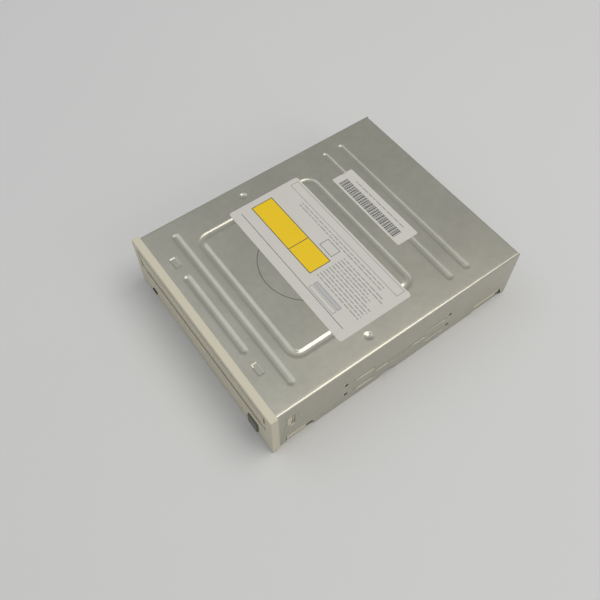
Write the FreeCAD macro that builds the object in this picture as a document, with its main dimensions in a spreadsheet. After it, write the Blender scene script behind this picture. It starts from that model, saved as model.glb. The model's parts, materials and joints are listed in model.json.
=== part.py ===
import FreeCAD, Part
import math
import operator
import os

import Sketcher
from FreeCAD import Placement, Rotation, Vector

# Half-height disc drive for a computer bay, with a motor-driven tray. Millimetres.
# X runs to the right seen from the front, Y from the front to the rear, Z up.
# The origin is the middle of the underside. Places along the depth are measured from the
# face of the front panel, and heights from the underside.

SIZES = {
    # Whole drive
    "case_width": 146.0,
    "case_height": 41.3,
    "drive_depth": 184.0,
    "sheet_gauge": 0.8,
    "bend_radius": 1.3,
    "fit_gap": 0.2,
    "running_gap": 0.05,
    "seat_gap": 0.1,
    "sunk": 0.2,
    "past": 1.0,
    # Fastening pattern of such a drive
    "mount_setback": 47.4,
    "mount_pitch": 79.25,
    "mount_bottom_span": 139.7,
    "mount_low": 10.0,
    "mount_rise": 11.8,
    "mount_hole_radius": 1.25,
    "collar_radius": 2.1,
    "collar_length": 1.5,
    # Pressed features of the top cover
    "flange_low": 19.0,
    "rib_width": 5.2,
    "rib_depth": 0.7,
    "rib_half_length": 62.5,
    "rear_rib_place": 151.5,
    "rear_rib_pitch": 13.0,
    "front_rib_place": 23.5,
    "short_rib_place": 13.2,
    "short_rib_half_length": 32.0,
    "loop_half_width": 50.0,
    "loop_front": 34.0,
    "loop_rear": 119.0,
    "loop_corner": 6.5,
    "stamp_length": 8.0,
    "stamp_width": 4.5,
    "stamp_offset": 43.5,
    "dimple_radius": 2.75,
    "dimple_offset": 63.0,
    "dimple_place": 74.5,
    "stamp_depth": 0.45,
    # Side walls of the top cover
    "bead_width": 2.6,
    "bead_length": 15.5,
    "bead_rise": 12.0,
    "bead_low": 8.5,
    "bead_place": 65.8,
    "bead_pitch": 55.0,
    "mid_bead_length": 12.4,
    "mid_bead_place": 79.8,
    "mid_bead_pitch": 27.4,
    "mid_bead_height": 14.8,
    "tick_length": 5.0,
    "tick_width": 1.6,
    "tick_place": 88.5,
    "tick_pitch": 3.7,
    "latch_place": 11.2,
    "latch_length": 5.6,
    "latch_low": 21.2,
    "latch_height": 9.0,
    "latch_dish_margin": 2.0,
    "front_notch_place": 10.0,
    "front_notch_length": 17.5,
    "front_notch_height": 7.6,
    "notch_slope": 3.5,
    "middle_notch_place": 79.0,
    "middle_notch_length": 9.5,
    "middle_notch_height": 3.0,
    "rear_notch_place": 155.0,
    "rear_notch_length": 23.0,
    "rear_notch_height": 8.6,
    # Bottom cover
    "upstand_height": 18.7,
    "cover_screw_offset": 62.0,
    "cover_screw_front": 20.0,
    "cover_screw_rear": 167.0,
    "screw_head_radius": 2.6,
    "screw_head_height": 0.9,
    "screw_shank_radius": 1.25,
    "screw_length": 7.0,
    "dish_depth": 1.2,
    "underside_rib_half_length": 40.0,
    "underside_rib_front": 60.0,
    "underside_rib_pitch": 30.0,
    # Front panel
    "bezel_overhang": 1.1,
    "bezel_rise": 0.7,
    "bezel_thick": 5.0,
    "bezel_wall": 2.0,
    "bezel_corner": 0.6,
    "bezel_edge": 0.4,
    "door_width": 135.6,
    "door_low": 22.0,
    "door_headroom": 4.4,
    "door_gap": 0.5,
    "door_thick": 3.6,
    "door_skin": 1.8,
    "door_corner": 3.0,
    "door_step_height": 30.0,
    "door_step_depth": 0.5,
    "latch_arm_thick": 1.5,
    "latch_hook_length": 2.6,
    "button_place": 55.5,
    "button_width": 9.0,
    "button_low": 4.0,
    "button_height": 10.0,
    "button_proud": 1.2,
    "button_travel": 0.8,
    "button_lip": 1.0,
    "stem_length": 3.6,
    "window_place": -56.5,
    "window_width": 5.0,
    "window_low": 5.6,
    "window_height": 2.0,
    "lens_flange": 1.0,
    "lens_lip": 0.6,
    "release_hole_place": 44.0,
    "release_hole_height": 8.0,
    "release_hole_radius": 0.75,
    # Chassis
    "chassis_wall": 2.4,
    "chassis_gap": 0.3,
    "rail_gap": 0.6,
    "rear_hook_place": 142.0,
    "bay_screw_room": 1.0,
    "pulley_room": 1.0,
    "chassis_headroom": 2.5,
    "chassis_low": 2.5,
    "chassis_rear": 180.0,
    "deck_low": 14.6,
    "deck_thick": 2.0,
    "deck_front": 7.0,
    "opening_front": 54.3,
    "opening_rear": 166.0,
    "opening_half_width": 57.0,
    "post_half": 3.4,
    "foot_height": 4.5,
    "pivot_place": 160.0,
    "pivot_height": 14.0,
    "pivot_radius": 2.5,
    "ear_thick": 3.0,
    "ear_half_length": 4.5,
    # Tray
    "tray_width": 129.0,
    "tray_front": 3.8,
    "tray_rear": 162.0,
    "tray_low": 25.2,
    "tray_top": 31.0,
    "tray_wall": 1.6,
    "disc_place": 78.0,
    "disc_recess_radius": 60.6,
    "disc_floor": 28.0,
    "small_recess_radius": 40.6,
    "small_floor": 26.8,
    "hub_opening_radius": 19.5,
    "slot_half_width": 23.0,
    "runner_width": 2.9,
    "runner_low": 23.4,
    "runner_thick": 1.5,
    "runner_front": 12.0,
    "runner_rear": 152.0,
    "tray_front_drop": 2.2,
    "tray_front_half_width": 62.0,
    "clip_offset": 48.0,
    "clip_width": 8.0,
    "clip_thick": 1.4,
    "clip_rise": 0.4,
    "clip_barb": 0.7,
    "clip_reach": 7.4,
    "tray_travel": 135.0,
    # Rack and gears
    "rack_module": 1.0,
    "rack_place": -40.0,
    "rack_low": 21.9,
    "rack_back": 3.2,
    "rack_front": 17.0,
    "drive_teeth": 20.0,
    "drive_place": 24.0,
    "drive_low": 20.9,
    "drive_top": 24.6,
    "wheel_module": 0.8,
    "wheel_teeth": 36.0,
    "wheel_low": 19.2,
    "wheel_thick": 1.6,
    "pinion_teeth": 14.0,
    "pinion_top": 20.9,
    "backlash": 0.2,
    "train_angle": 15.0,
    "spindle_radius": 2.5,
    "belt_wheel_radius": 13.5,
    "belt_wheel_thick": 1.8,
    "belt_wheel_low": 17.0,
    "belt_groove": 0.9,
    "belt_size": 1.1,
    "belt_gap": 0.1,
    "pulley_radius": 4.0,
    "pulley_low": 16.95,
    "pulley_top": 19.6,
    "loading_motor_place": 30.0,
    "loading_motor_radius": 12.2,
    "loading_motor_height": 10.3,
    "motor_shaft_radius": 1.0,
    "motor_boss_radius": 3.0,
    "motor_screw_offset": 8.5,
    "motor_screw_depth": 2.0,
    # Cam slide
    "cam_plate_place": 54.9,
    "cam_plate_thick": 2.0,
    "cam_plate_low": 4.2,
    "cam_half_length": 42.0,
    "cam_centre": -4.0,
    "cam_bar_low": 16.9,
    "cam_bar_thick": 1.8,
    "cam_bar_width": 6.6,
    "cam_travel": 16.0,
    "cam_pin_offset": 28.0,
    "cam_pin_radius": 1.5,
    "cam_pin_gap": 0.35,
    "cam_pin_height": 14.5,
    "lift_angle": 4.19,
    # Lift frame and traverse
    "lift_half_width": 54.0,
    "lift_front": 58.5,
    "lift_rear": 164.0,
    "lift_low": 11.0,
    "lift_top": 18.0,
    "lift_bar": 8.0,
    "lift_wall": 2.7,
    "lift_window_front": 65.0,
    "lift_window_rear": 154.0,
    "damper_offset": 49.0,
    "damper_front": 68.0,
    "damper_rear": 148.0,
    "damper_radius": 4.0,
    "damper_neck": 2.6,
    "damper_flange": 1.2,
    "step_head_radius": 3.0,
    "traverse_gauge": 1.2,
    "traverse_half_width": 53.0,
    "traverse_front": 62.0,
    "traverse_rear": 157.0,
    "traverse_window_left": 30.0,
    "traverse_window_right": 41.5,
    "traverse_window_front": 92.5,
    "traverse_window_rear": 149.6,
    # Spindle motor and turntable
    "spindle_base_radius": 13.8,
    "spindle_base_thick": 0.8,
    "spindle_tab_length": 9.0,
    "spindle_tab_reach": 1.5,
    "stator_radius": 10.0,
    "stator_height": 2.6,
    "sleeve_rise": 1.0,
    "rotor_radius": 13.4,
    "rotor_low": 21.8,
    "rotor_top": 26.6,
    "turntable_radius": 14.6,
    "turntable_low": 27.4,
    "turntable_top": 29.2,
    "pad_inner_radius": 10.6,
    "pad_outer_radius": 14.2,
    "pad_thick": 0.5,
    "hub_radius": 7.4,
    "hub_top": 31.5,
    "hub_cone_height": 1.1,
    "hub_tip_radius": 5.8,
    "shaft_radius": 1.2,
    # Pickup, its rods and drive
    "rod_offset": 25.0,
    "rod_height": 17.4,
    "rod_radius": 1.5,
    "rod_front": 88.0,
    "rod_rear": 153.7,
    "clamp_length": 4.0,
    "clamp_width": 7.0,
    "clamp_low": 14.6,
    "pickup_front": 93.3,
    "pickup_length": 21.5,
    "pickup_half_width": 29.0,
    "pickup_low": 13.6,
    "pickup_top": 21.4,
    "pickup_wall": 2.0,
    "wing_step": 1.0,
    "nut_half_height": 2.4,
    "lens_place": 101.0,
    "lens_radius": 2.2,
    "lens_top": 28.2,
    "lens_rim_rise": 0.2,
    "lens_rim_width": 0.3,
    "actuator_half_width": 13.0,
    "actuator_front": 93.8,
    "actuator_length": 15.0,
    "actuator_base_thick": 1.0,
    "yoke_height": 4.4,
    "yoke_thick": 2.2,
    "holder_low": 23.4,
    "holder_top": 27.0,
    "holder_half_width": 6.6,
    "holder_half_length": 4.2,
    "holder_wall": 1.2,
    "screw_line": 35.0,
    "screw_line_height": 15.6,
    "lead_screw_radius": 1.5,
    "lead_screw_front": 90.5,
    "journal_length": 2.0,
    "sled_motor_place": 137.0,
    "sled_motor_length": 12.3,
    "sled_motor_radius": 5.3,
    "foot_inset": 0.5,
    # Clamp over the disc
    "bridge_low": 34.0,
    "bridge_gauge": 1.0,
    "bridge_half_length": 68.2,
    "bridge_front": 62.0,
    "bridge_rear": 94.0,
    "bridge_fold": 1.4,
    "bridge_hole_radius": 11.4,
    "ledge_half_length": 63.5,
    "ledge_low": 31.7,
    "bridge_screw_offset": 66.2,
    "bridge_head_radius": 2.0,
    "clamper_radius": 15.5,
    "clamper_low": 31.3,
    "clamper_flange_low": 32.4,
    "clamper_neck_radius": 10.8,
    "clamper_cap_radius": 13.6,
    "clamper_cap_thick": 0.6,
    "cap_boss_radius": 3.6,
    "cap_boss_height": 0.3,
    "clamper_float": 0.3,
    "clamper_recess_radius": 8.4,
    "clamper_recess_top": 33.6,
    # Boards
    "board_thick": 1.6,
    "board_half_width": 66.0,
    "board_screw_reach": 4.0,
    "main_board_low": 3.2,
    "main_board_front": 118.0,
    "main_board_rear": 182.6,
    "front_board_low": 2.6,
    "front_board_thick": 1.2,
    "front_board_front": 6.0,
    "front_board_rear": 40.0,
    "board_post_front": 123.0,
    "switch_width": 7.0,
    "switch_length": 4.2,
    "switch_height": 7.4,
    "plunger_radius": 1.2,
    "plunger_depth": 1.2,
    "lamp_half_width": 1.7,
    "lamp_tip": 1.2,
    "lamp_length": 4.0,
    "lever_inset": 2.0,
    "lever_length": 5.0,
    "lever_margin": 1.0,
    "lever_half_thick": 0.6,
    "stem_radius": 2.0,
    "front_post_place": 34.0,
    "front_post_left": 46.0,
    "front_post_right": 54.0,
    "tray_switch_place": 50.0,
    "chip_height": 2.0,
    "large_chip_half": 11.0,
    "middle_chip_half": 7.7,
    "small_chip_half": 5.0,
    "chip_place": 142.0,
    "chip_offset": 26.0,
    "flex_width": 16.0,
    "flex_length": 4.0,
    "flex_inset": 1.0,
    "capacitor_radius": 2.8,
    "capacitor_height": 7.5,
    "capacitor_offset": 61.5,
    "capacitor_place": 134.0,
    "capacitor_pitch": 8.4,
    # Rear sockets
    "socket_front": 171.0,
    "socket_wall": 1.1,
    "socket_floor": 3.0,
    "bus_place": -2.0,
    "bus_width": 58.4,
    "bus_height": 9.0,
    "key_half_width": 2.3,
    "key_length": 6.0,
    "pin_size": 0.64,
    "pin_pitch": 2.54,
    "pin_setback": 2.5,
    "power_place": -52.0,
    "power_width": 23.6,
    "power_height": 9.4,
    "power_corner": 2.4,
    "power_pin_radius": 1.05,
    "power_pin_pitch": 5.08,
    "audio_place": 58.0,
    "audio_width": 12.4,
    "audio_height": 6.4,
    "jumper_place": 40.0,
    "jumper_width": 7.6,
    "jumper_height": 5.1,
    "jumper_block_length": 2.5,
    "jumper_cap_length": 6.0,
    # Labels on the top
    "label_width": 113.0,
    "label_length": 52.5,
    "label_place": 85.25,
    "label_offset": 0.5,
    "sticker_width": 65.5,
    "sticker_length": 16.0,
    "sticker_place": 136.5,
    "sticker_offset": -7.75,
    "label_thick": 0.1,
}

doc = FreeCAD.newDocument("DiscDrive")
sheet = doc.addObject("Spreadsheet::Sheet", "Sizes")
OPERATIONS = {"+": operator.add, "-": operator.sub, "*": operator.mul, "/": operator.truediv}
NODES = []


class Size:
    """A size worked out from the sheet: the text of its expression, and its value."""

    def __init__(self, text, value):
        self.text = text
        self.value = value

    def __add__(self, other):
        return combined(self, "+", other)

    def __radd__(self, other):
        return combined(other, "+", self)

    def __sub__(self, other):
        return combined(self, "-", other)

    def __rsub__(self, other):
        return combined(other, "-", self)

    def __mul__(self, other):
        return combined(self, "*", other)

    def __rmul__(self, other):
        return combined(other, "*", self)

    def __truediv__(self, other):
        return combined(self, "/", other)

    def __neg__(self):
        return combined(0, "-", self)


def sized(number):
    """A bare number as a size."""
    if isinstance(number, Size):
        return number
    return Size(f"({number})", number)


def combined(first, sign, second):
    first = sized(first)
    second = sized(second)
    value = OPERATIONS[sign](first.value, second.value)
    return Size(f"({first.text} {sign} {second.text})", value)


def sine(angle):
    return Size(f"sin({angle.text})", math.sin(math.radians(angle.value)))


def cosine(angle):
    return Size(f"cos({angle.text})", math.cos(math.radians(angle.value)))


class Sizes:
    """The sheet's sizes by name."""


def fill_sheet():
    """Write each size in a row of the sheet and name its cell."""
    named = Sizes()
    for row, (alias, value) in enumerate(SIZES.items(), 1):
        sheet.set(f"A{row}", alias)
        sheet.set(f"B{row}", str(value))
        sheet.setAlias(f"B{row}", alias)
        setattr(named, alias, Size(f"Sizes.{alias}", value))
    doc.recompute()
    return named


s = fill_sheet()


# Places: everything along the depth is measured back from the face of the front panel,
# which stands the button's height behind the foremost point of the drive.

face = s.button_proud - (s.drive_depth + s.button_proud) / 2


def back(distance):
    return face + distance


def both(half):
    """A pair of limits symmetrical about zero."""
    return (-half, half)


def around(centre, half):
    return (centre - half, centre + half)


def through(limits):
    """Limits widened beyond both faces, for a tool that cuts right through."""
    return (limits[0] - s.past, limits[1] + s.past)


def wider(limits, gap):
    return (limits[0] - gap, limits[1] + gap)


def bind(made, name, length):
    made.setExpression(name, sized(length).text)


def place(made, x, y, z):
    bind(made, "Placement.Base.x", x)
    bind(made, "Placement.Base.y", y)
    bind(made, "Placement.Base.z", z)
    return made


# Plain solids

ALONG = {
    "X": Rotation(Vector(0, 1, 0), 90),
    "Y": Rotation(Vector(1, 0, 0), -90),
    "Z": Rotation(),
}


def block(x, y, z):
    """A box between two limits on each axis."""
    made = doc.addObject("Part::Box", "Block")
    bind(made, "Length", x[1] - x[0])
    bind(made, "Width", y[1] - y[0])
    bind(made, "Height", z[1] - z[0])
    return place(made, x[0], y[0], z[0])


def spot(axis, centre, level):
    """The point at a level on an axis, where centre holds the other two coordinates in order."""
    first, second = centre
    return {"X": (level, first, second), "Y": (first, level, second), "Z": (first, second, level)}[axis]


def rod(axis, centre, radius, ends):
    """A cylinder along an axis between two limits."""
    made = doc.addObject("Part::Cylinder", "Rod")
    made.Placement = Placement(Vector(), ALONG[axis])
    bind(made, "Radius", radius)
    bind(made, "Height", ends[1] - ends[0])
    return place(made, *spot(axis, centre, ends[0]))


FLATS = 12


def flatted(axis, centre, radius, ends):
    """A small bar or bore with twelve flats in place of a round, which keeps the facets few."""
    made = doc.addObject("Part::Prism", "Flatted")
    made.Polygon = FLATS
    made.Placement = Placement(Vector(), ALONG[axis])
    bind(made, "Circumradius", radius)
    bind(made, "Height", ends[1] - ends[0])
    return place(made, *spot(axis, centre, ends[0]))


def around_round(radius):
    """The corner radius of a flatted bore whose flats touch a round bar of this radius."""
    return radius / math.cos(math.pi / FLATS)


def cone(axis, centre, radii, ends):
    made = doc.addObject("Part::Cone", "Cone")
    made.Placement = Placement(Vector(), ALONG[axis])
    bind(made, "Radius1", radii[0])
    bind(made, "Radius2", radii[1])
    bind(made, "Height", ends[1] - ends[0])
    return place(made, *spot(axis, centre, ends[0]))


def ball(centre, radius):
    made = doc.addObject("Part::Sphere", "Ball")
    bind(made, "Radius", radius)
    return place(made, *centre)


def joined(*pieces):
    if len(pieces) == 1:
        return pieces[0]
    made = doc.addObject("Part::MultiFuse", "Joined")
    made.Shapes = list(pieces)
    made.Refine = True
    return made


def less(base, *tools):
    made = doc.addObject("Part::Cut", "Less")
    made.Base = base
    made.Tool = joined(*tools)
    made.Refine = True
    return made


def within(first, second):
    made = doc.addObject("Part::Common", "Within")
    made.Base = first
    made.Tool = second
    return made


def group(*pieces):
    """Separate solids kept together as one node."""
    made = doc.addObject("Part::Compound", "Group")
    made.Links = list(pieces)
    return made


def tube(axis, centre, outer, inner, ends):
    return less(rod(axis, centre, outer, ends), rod(axis, centre, inner, through(ends)))


def node(name, made):
    """Name a finished sub-part."""
    made.Label = name
    NODES.append(made)
    return made


# Sketched bodies

def closed(points):
    """A sketch outline of straight lines through points, each held by its coordinates."""

    def draw(sketch):
        first = sketch.GeometryCount
        count = len(points)
        places = [(sized(u), sized(v)) for u, v in points]
        for index in range(count):
            u, v = places[index]
            next_u, next_v = places[(index + 1) % count]
            start = Vector(u.value, v.value, 0)
            end = Vector(next_u.value, next_v.value, 0)
            sketch.addGeometry(Part.LineSegment(start, end))
        for index in range(count):
            line = first + index
            following = first + (index + 1) % count
            sketch.addConstraint(Sketcher.Constraint("Coincident", line, 2, following, 1))
        for index, (u, v) in enumerate(places):
            hold(sketch, first + index, 1, u, v)

    return draw


def hold(sketch, geometry, point, u, v):
    """Fix a point of a sketch at bound distances from the sketch's origin."""
    for kind, length in (("DistanceX", u), ("DistanceY", v)):
        fixed = Sketcher.Constraint(kind, -1, 1, geometry, point, length.value)
        number = sketch.addConstraint(fixed)
        sketch.setExpression(f"Constraints[{number}]", length.text)


def hold_radius(sketch, geometry, radius):
    number = sketch.addConstraint(Sketcher.Constraint("Radius", geometry, radius.value))
    sketch.setExpression(f"Constraints[{number}]", radius.text)


def oblong(u, v):
    return closed([(u[0], v[0]), (u[1], v[0]), (u[1], v[1]), (u[0], v[1])])


def circle(u, v, radius):
    def draw(sketch):
        centre = Vector(sized(u).value, sized(v).value, 0)
        made = sketch.addGeometry(Part.Circle(centre, Vector(0, 0, 1), sized(radius).value))
        hold(sketch, made, 3, sized(u), sized(v))
        hold_radius(sketch, made, sized(radius))

    return draw


def flats(u, v, radius):
    """The outline of a flatted bar or bore."""
    corners = [2 * math.pi * index / FLATS for index in range(FLATS)]
    return closed([
        (u + radius * round(math.cos(angle), 6), v + radius * round(math.sin(angle), 6)) for angle in corners
    ])


def slot(u, v, radius):
    """A slot with round ends, between the centres of its ends on one line along u or along v."""

    def draw(sketch):
        lengthwise = isinstance(u, tuple)
        starts = (u[0], v) if lengthwise else (u, v[0])
        stops = (u[1], v) if lengthwise else (u, v[1])
        turn = 0 if lengthwise else math.pi / 2
        ends = []
        for (end_u, end_v), base in ((starts, math.pi), (stops, 0)):
            centre = Vector(sized(end_u).value, sized(end_v).value, 0)
            full = Part.Circle(centre, Vector(0, 0, 1), sized(radius).value)
            middle = base + turn
            arc = Part.ArcOfCircle(full, middle - math.pi / 2, middle + math.pi / 2)
            made = sketch.addGeometry(arc)
            hold(sketch, made, 3, sized(end_u), sized(end_v))
            hold_radius(sketch, made, sized(radius))
            level = "Vertical" if lengthwise else "Horizontal"
            sketch.addConstraint(Sketcher.Constraint(level, made, 3, made, 1))
            sketch.addConstraint(Sketcher.Constraint(level, made, 3, made, 2))
            ends.append(made)
        for one, other in ((ends[0], ends[1]), (ends[1], ends[0])):
            start = sketch.getPoint(one, 2)
            stop = sketch.getPoint(other, 1)
            line = sketch.addGeometry(Part.LineSegment(start, stop))
            sketch.addConstraint(Sketcher.Constraint("Coincident", one, 2, line, 1))
            sketch.addConstraint(Sketcher.Constraint("Coincident", line, 2, other, 1))

    return draw


def sketched(body, plane, offset, outlines):
    """A sketch on one of the body's own planes, moved along that plane's normal."""
    sketch = body.newObject("Sketcher::SketchObject", "Outline")
    origin_plane = [feature for feature in body.Origin.OriginFeatures if feature.Role == f"{plane}_Plane"][0]
    sketch.AttachmentSupport = [(origin_plane, "")]
    sketch.MapMode = "FlatFace"
    sketch.setExpression("AttachmentOffset.Base.z", sized(offset).text)
    for draw in outlines:
        draw(sketch)
    return sketch


def pad(body, plane, limits, *outlines):
    """Material between two levels. The XZ plane faces the front, so its pads start at the rear."""
    offset = -sized(limits[1]) if plane == "XZ" else limits[0]
    made = body.newObject("PartDesign::Pad", "Pad")
    made.Profile = sketched(body, plane, offset, outlines)
    bind(made, "Length", limits[1] - limits[0])
    made.Refine = True
    body.Tip = made
    return made


def pocket(body, plane, limits, *outlines):
    """A cut between two levels."""
    offset = -sized(limits[0]) if plane == "XZ" else limits[1]
    made = body.newObject("PartDesign::Pocket", "Pocket")
    made.Profile = sketched(body, plane, offset, outlines)
    bind(made, "Length", limits[1] - limits[0])
    made.Refine = True
    body.Tip = made
    return made


def mirrored(body, *features):
    """The same features on the other side of the middle plane."""
    made = body.newObject("PartDesign::Mirrored", "Mirrored")
    made.Originals = list(features)
    plane = [feature for feature in body.Origin.OriginFeatures if feature.Role == "YZ_Plane"][0]
    made.MirrorPlane = (plane, [""])
    body.Tip = made
    return made


def dressed(body, kind, choose):
    """A fillet or chamfer on the edges of the body's last feature that the test picks."""
    doc.recompute()
    base = body.Tip
    names = [f"Edge{n}" for n, edge in enumerate(base.Shape.Edges, 1) if choose(edge)]
    made = body.newObject(f"PartDesign::{kind}", kind)
    made.Base = (base, names)
    body.Tip = made
    return made


def rounded(body, radius, choose):
    bind(dressed(body, "Fillet", choose), "Radius", radius)


def bevelled(body, size, choose):
    bind(dressed(body, "Chamfer", choose), "Size", size)


def new_body(name):
    return doc.addObject("PartDesign::Body", name)


def near(first, second, slack=0.01):
    return abs(first - second) < slack


def runs_along(edge, axis):
    """Whether an edge is straight and parallel to an axis."""
    if len(edge.Vertexes) != 2 or not isinstance(edge.Curve, Part.Line):
        return False
    direction = edge.Vertexes[1].Point - edge.Vertexes[0].Point
    across = [abs(getattr(direction, name)) for name in ("x", "y", "z") if name != axis.lower()]
    return max(across) < 0.001


# Shared places

half_case = s.case_width / 2
inner_half = half_case - s.sheet_gauge
top_inside = s.case_height - s.sheet_gauge
case_front = back(s.bezel_thick)
case_rear = back(s.drive_depth)
disc_y = back(s.disc_place)
mount_front = back(s.bezel_thick + s.mount_setback)
mount_rear = mount_front + s.mount_pitch
mount_high = s.mount_low + s.mount_rise
mount_depths = (mount_front, mount_rear)
mount_bottom_half = s.mount_bottom_span / 2


# Top cover: one steel sheet folded down at both sides and at the rear, with pressed ribs.

def cover_sheet():
    body = new_body("CoverSheet")
    outer = half_case
    section = closed([
        (-outer, 0), (-outer, s.case_height), (outer, s.case_height), (outer, 0),
        (inner_half, 0), (inner_half, top_inside), (-inner_half, top_inside), (-inner_half, 0),
    ])
    pad(body, "XZ", (case_front, case_rear), section)

    def bend(half, height):
        def on_bend(edge):
            corner = edge.Vertexes[0].Point
            return runs_along(edge, "Y") and near(abs(corner.x), half.value) and near(corner.z, height.value)

        return on_bend

    rounded(body, s.bend_radius, bend(outer, s.case_height))
    rounded(body, s.bend_radius - s.sheet_gauge, bend(inner_half, top_inside))
    flange_top = s.case_height - s.sheet_gauge / 2
    rear_y = (case_rear - s.sheet_gauge, case_rear)
    pad(body, "XZ", rear_y, oblong(both(inner_half), (s.flange_low, flange_top)))
    collars = pad(
        body, "YZ", (inner_half - s.collar_length, inner_half + s.sheet_gauge / 2),
        *[flats(y, z, s.collar_radius) for y in mount_depths for z in (s.mount_low, mount_high)],
    )
    mirrored(body, collars)
    right_across = both(half_case + s.past)
    pocket(
        body, "YZ", right_across,
        *[circle(y, z, s.mount_hole_radius) for y in mount_depths for z in (s.mount_low, mount_high)],
    )
    latch_y = (back(s.latch_place), back(s.latch_place + s.latch_length))
    latch_z = (s.latch_low, s.latch_low + s.latch_height)
    pocket(body, "YZ", right_across, oblong(latch_y, latch_z))
    pocket(body, "YZ", right_across, *[notch(*sizes) for sizes in (
        (s.front_notch_place, s.front_notch_length, s.front_notch_height),
        (s.rear_notch_place, s.rear_notch_length, s.rear_notch_height),
        (s.middle_notch_place, s.middle_notch_length, s.middle_notch_height),
    )])
    surface = (half_case - s.sheet_gauge / 2, half_case)
    dish = oblong(wider(latch_y, s.latch_dish_margin), wider(latch_z, s.latch_dish_margin))
    beads = pocket(body, "YZ", surface, dish, *side_beads())
    mirrored(body, beads)
    return body


def notch(front, length, height):
    """A cut in the lower edge of a side wall, square at its front and sloping at its rear."""
    start = back(front)
    stop = back(front + length)
    return closed([(start, -s.past), (start, height), (stop, height), (stop + s.notch_slope, -s.past)])


def side_beads():
    """Three rows of pressed beads, and the short ticks between the middle ones."""
    half = s.bead_width / 2
    outlines = []
    for step in range(2):
        run = around(back(s.bead_place + s.bead_pitch * step), s.bead_length / 2)
        outlines.append(oblong(run, around(s.bead_low, half)))
        outlines.append(oblong(run, around(s.bead_low + s.bead_rise, half)))
        run = around(back(s.mid_bead_place + s.mid_bead_pitch * step), s.mid_bead_length / 2)
        outlines.append(oblong(run, around(s.mid_bead_height, half)))
    for step in range(4):
        tick = around(back(s.tick_place + s.tick_pitch * step), s.tick_width / 2)
        outlines.append(oblong(tick, around(s.mid_bead_height, s.tick_length / 2)))
    return outlines


# A rib is pressed inward: a round bar cuts its groove, and a flat band stands under it.

groove_radius = ((s.rib_width * s.rib_width) / 4 + s.rib_depth * s.rib_depth) / (2 * s.rib_depth)
rib_axis = s.case_height + groove_radius - s.rib_depth
band_half = s.rib_width / 2 + s.sheet_gauge / 2
band_z = (top_inside - s.rib_depth, s.case_height - s.sheet_gauge / 2)
loop_y = (back(s.loop_front), back(s.loop_rear))
straight_ribs = (
    (s.rib_half_length, back(s.rear_rib_place)),
    (s.rib_half_length, back(s.rear_rib_place - s.rear_rib_pitch)),
    (s.rib_half_length, back(s.front_rib_place)),
    (s.short_rib_half_length, back(s.short_rib_place)),
)


def rib_groove(half_length, y):
    """The groove of a straight rib across the cover, with round ends."""
    reach = half_length - s.rib_width / 2
    return joined(
        rod("X", (y, rib_axis), groove_radius, both(reach)),
        ball((-reach, y, rib_axis), groove_radius),
        ball((reach, y, rib_axis), groove_radius),
    )


def loop_groove():
    """The groove that runs round the middle of the cover, with quarter turns at its corners."""
    turn = s.loop_corner
    run = (loop_y[0] + turn, loop_y[1] - turn)
    pieces = [rod("Y", (sign * s.loop_half_width, rib_axis), groove_radius, run) for sign in (-1, 1)]
    pieces += [rod("X", (y, rib_axis), groove_radius, both(s.loop_half_width - turn)) for y in loop_y]
    corners = ((1, run[1]), (-1, run[1]), (-1, run[0]), (1, run[0]))
    for quarter, (sign, y) in enumerate(corners):
        corner = doc.addObject("Part::Torus", "Turn")
        bind(corner, "Radius1", turn)
        bind(corner, "Radius2", groove_radius)
        corner.Angle3 = 90
        corner.Placement = Placement(Vector(), Rotation(Vector(0, 0, 1), 90 * quarter))
        pieces.append(place(corner, sign * (s.loop_half_width - turn), y, rib_axis))
    return pieces


def rib_bands():
    """What stands out under the sheet below each groove."""
    bands = [block(both(half_length + s.sheet_gauge / 2), around(y, band_half), band_z)
             for half_length, y in straight_ribs]
    outer = block(both(s.loop_half_width + band_half), wider(loop_y, band_half), band_z)
    inner = block(both(s.loop_half_width - band_half), wider(loop_y, -band_half), through(band_z))
    return [*bands, less(outer, inner)]


def top_cover():
    stamp_z = (s.case_height - s.stamp_depth, s.case_height + s.past)
    stamps = []
    for sign in (-1, 1):
        stamps.append(block(
            around(sign * s.stamp_offset, s.stamp_length / 2),
            around(back(s.short_rib_place), s.stamp_width / 2), stamp_z,
        ))
        stamps.append(rod("Z", (sign * s.dimple_offset, back(s.dimple_place)), s.dimple_radius, stamp_z))
    grooves = [rib_groove(half_length, y) for half_length, y in straight_ribs]
    return less(joined(cover_sheet(), *rib_bands()), *grooves, *loop_groove(), *stamps)


node("top_cover", top_cover())


# Bottom cover: a steel plate between the side walls, with an upstand at the rear that the
# sockets look through, threaded collars for the bay's screws, and dished screw seats.

floor_mounts = [(sign * mount_bottom_half, y) for sign in (-1, 1) for y in mount_depths]
screw_places = [(sign * s.cover_screw_offset, back(y))
                for sign in (-1, 1) for y in (s.cover_screw_front, s.cover_screw_rear)]
screw_bore = s.screw_shank_radius + s.running_gap
sockets = [
    (s.bus_place, s.bus_width, s.bus_height),
    (s.power_place, s.power_width, s.power_height),
    (s.audio_place, s.audio_width, s.audio_height),
    (s.jumper_place, s.jumper_width, s.jumper_height),
]
board_top = s.main_board_low + s.board_thick
plate_half = inner_half - s.fit_gap / 2
dish_radius = s.screw_head_radius + s.sheet_gauge + s.fit_gap * 2
seat_height = s.dish_depth


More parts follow.
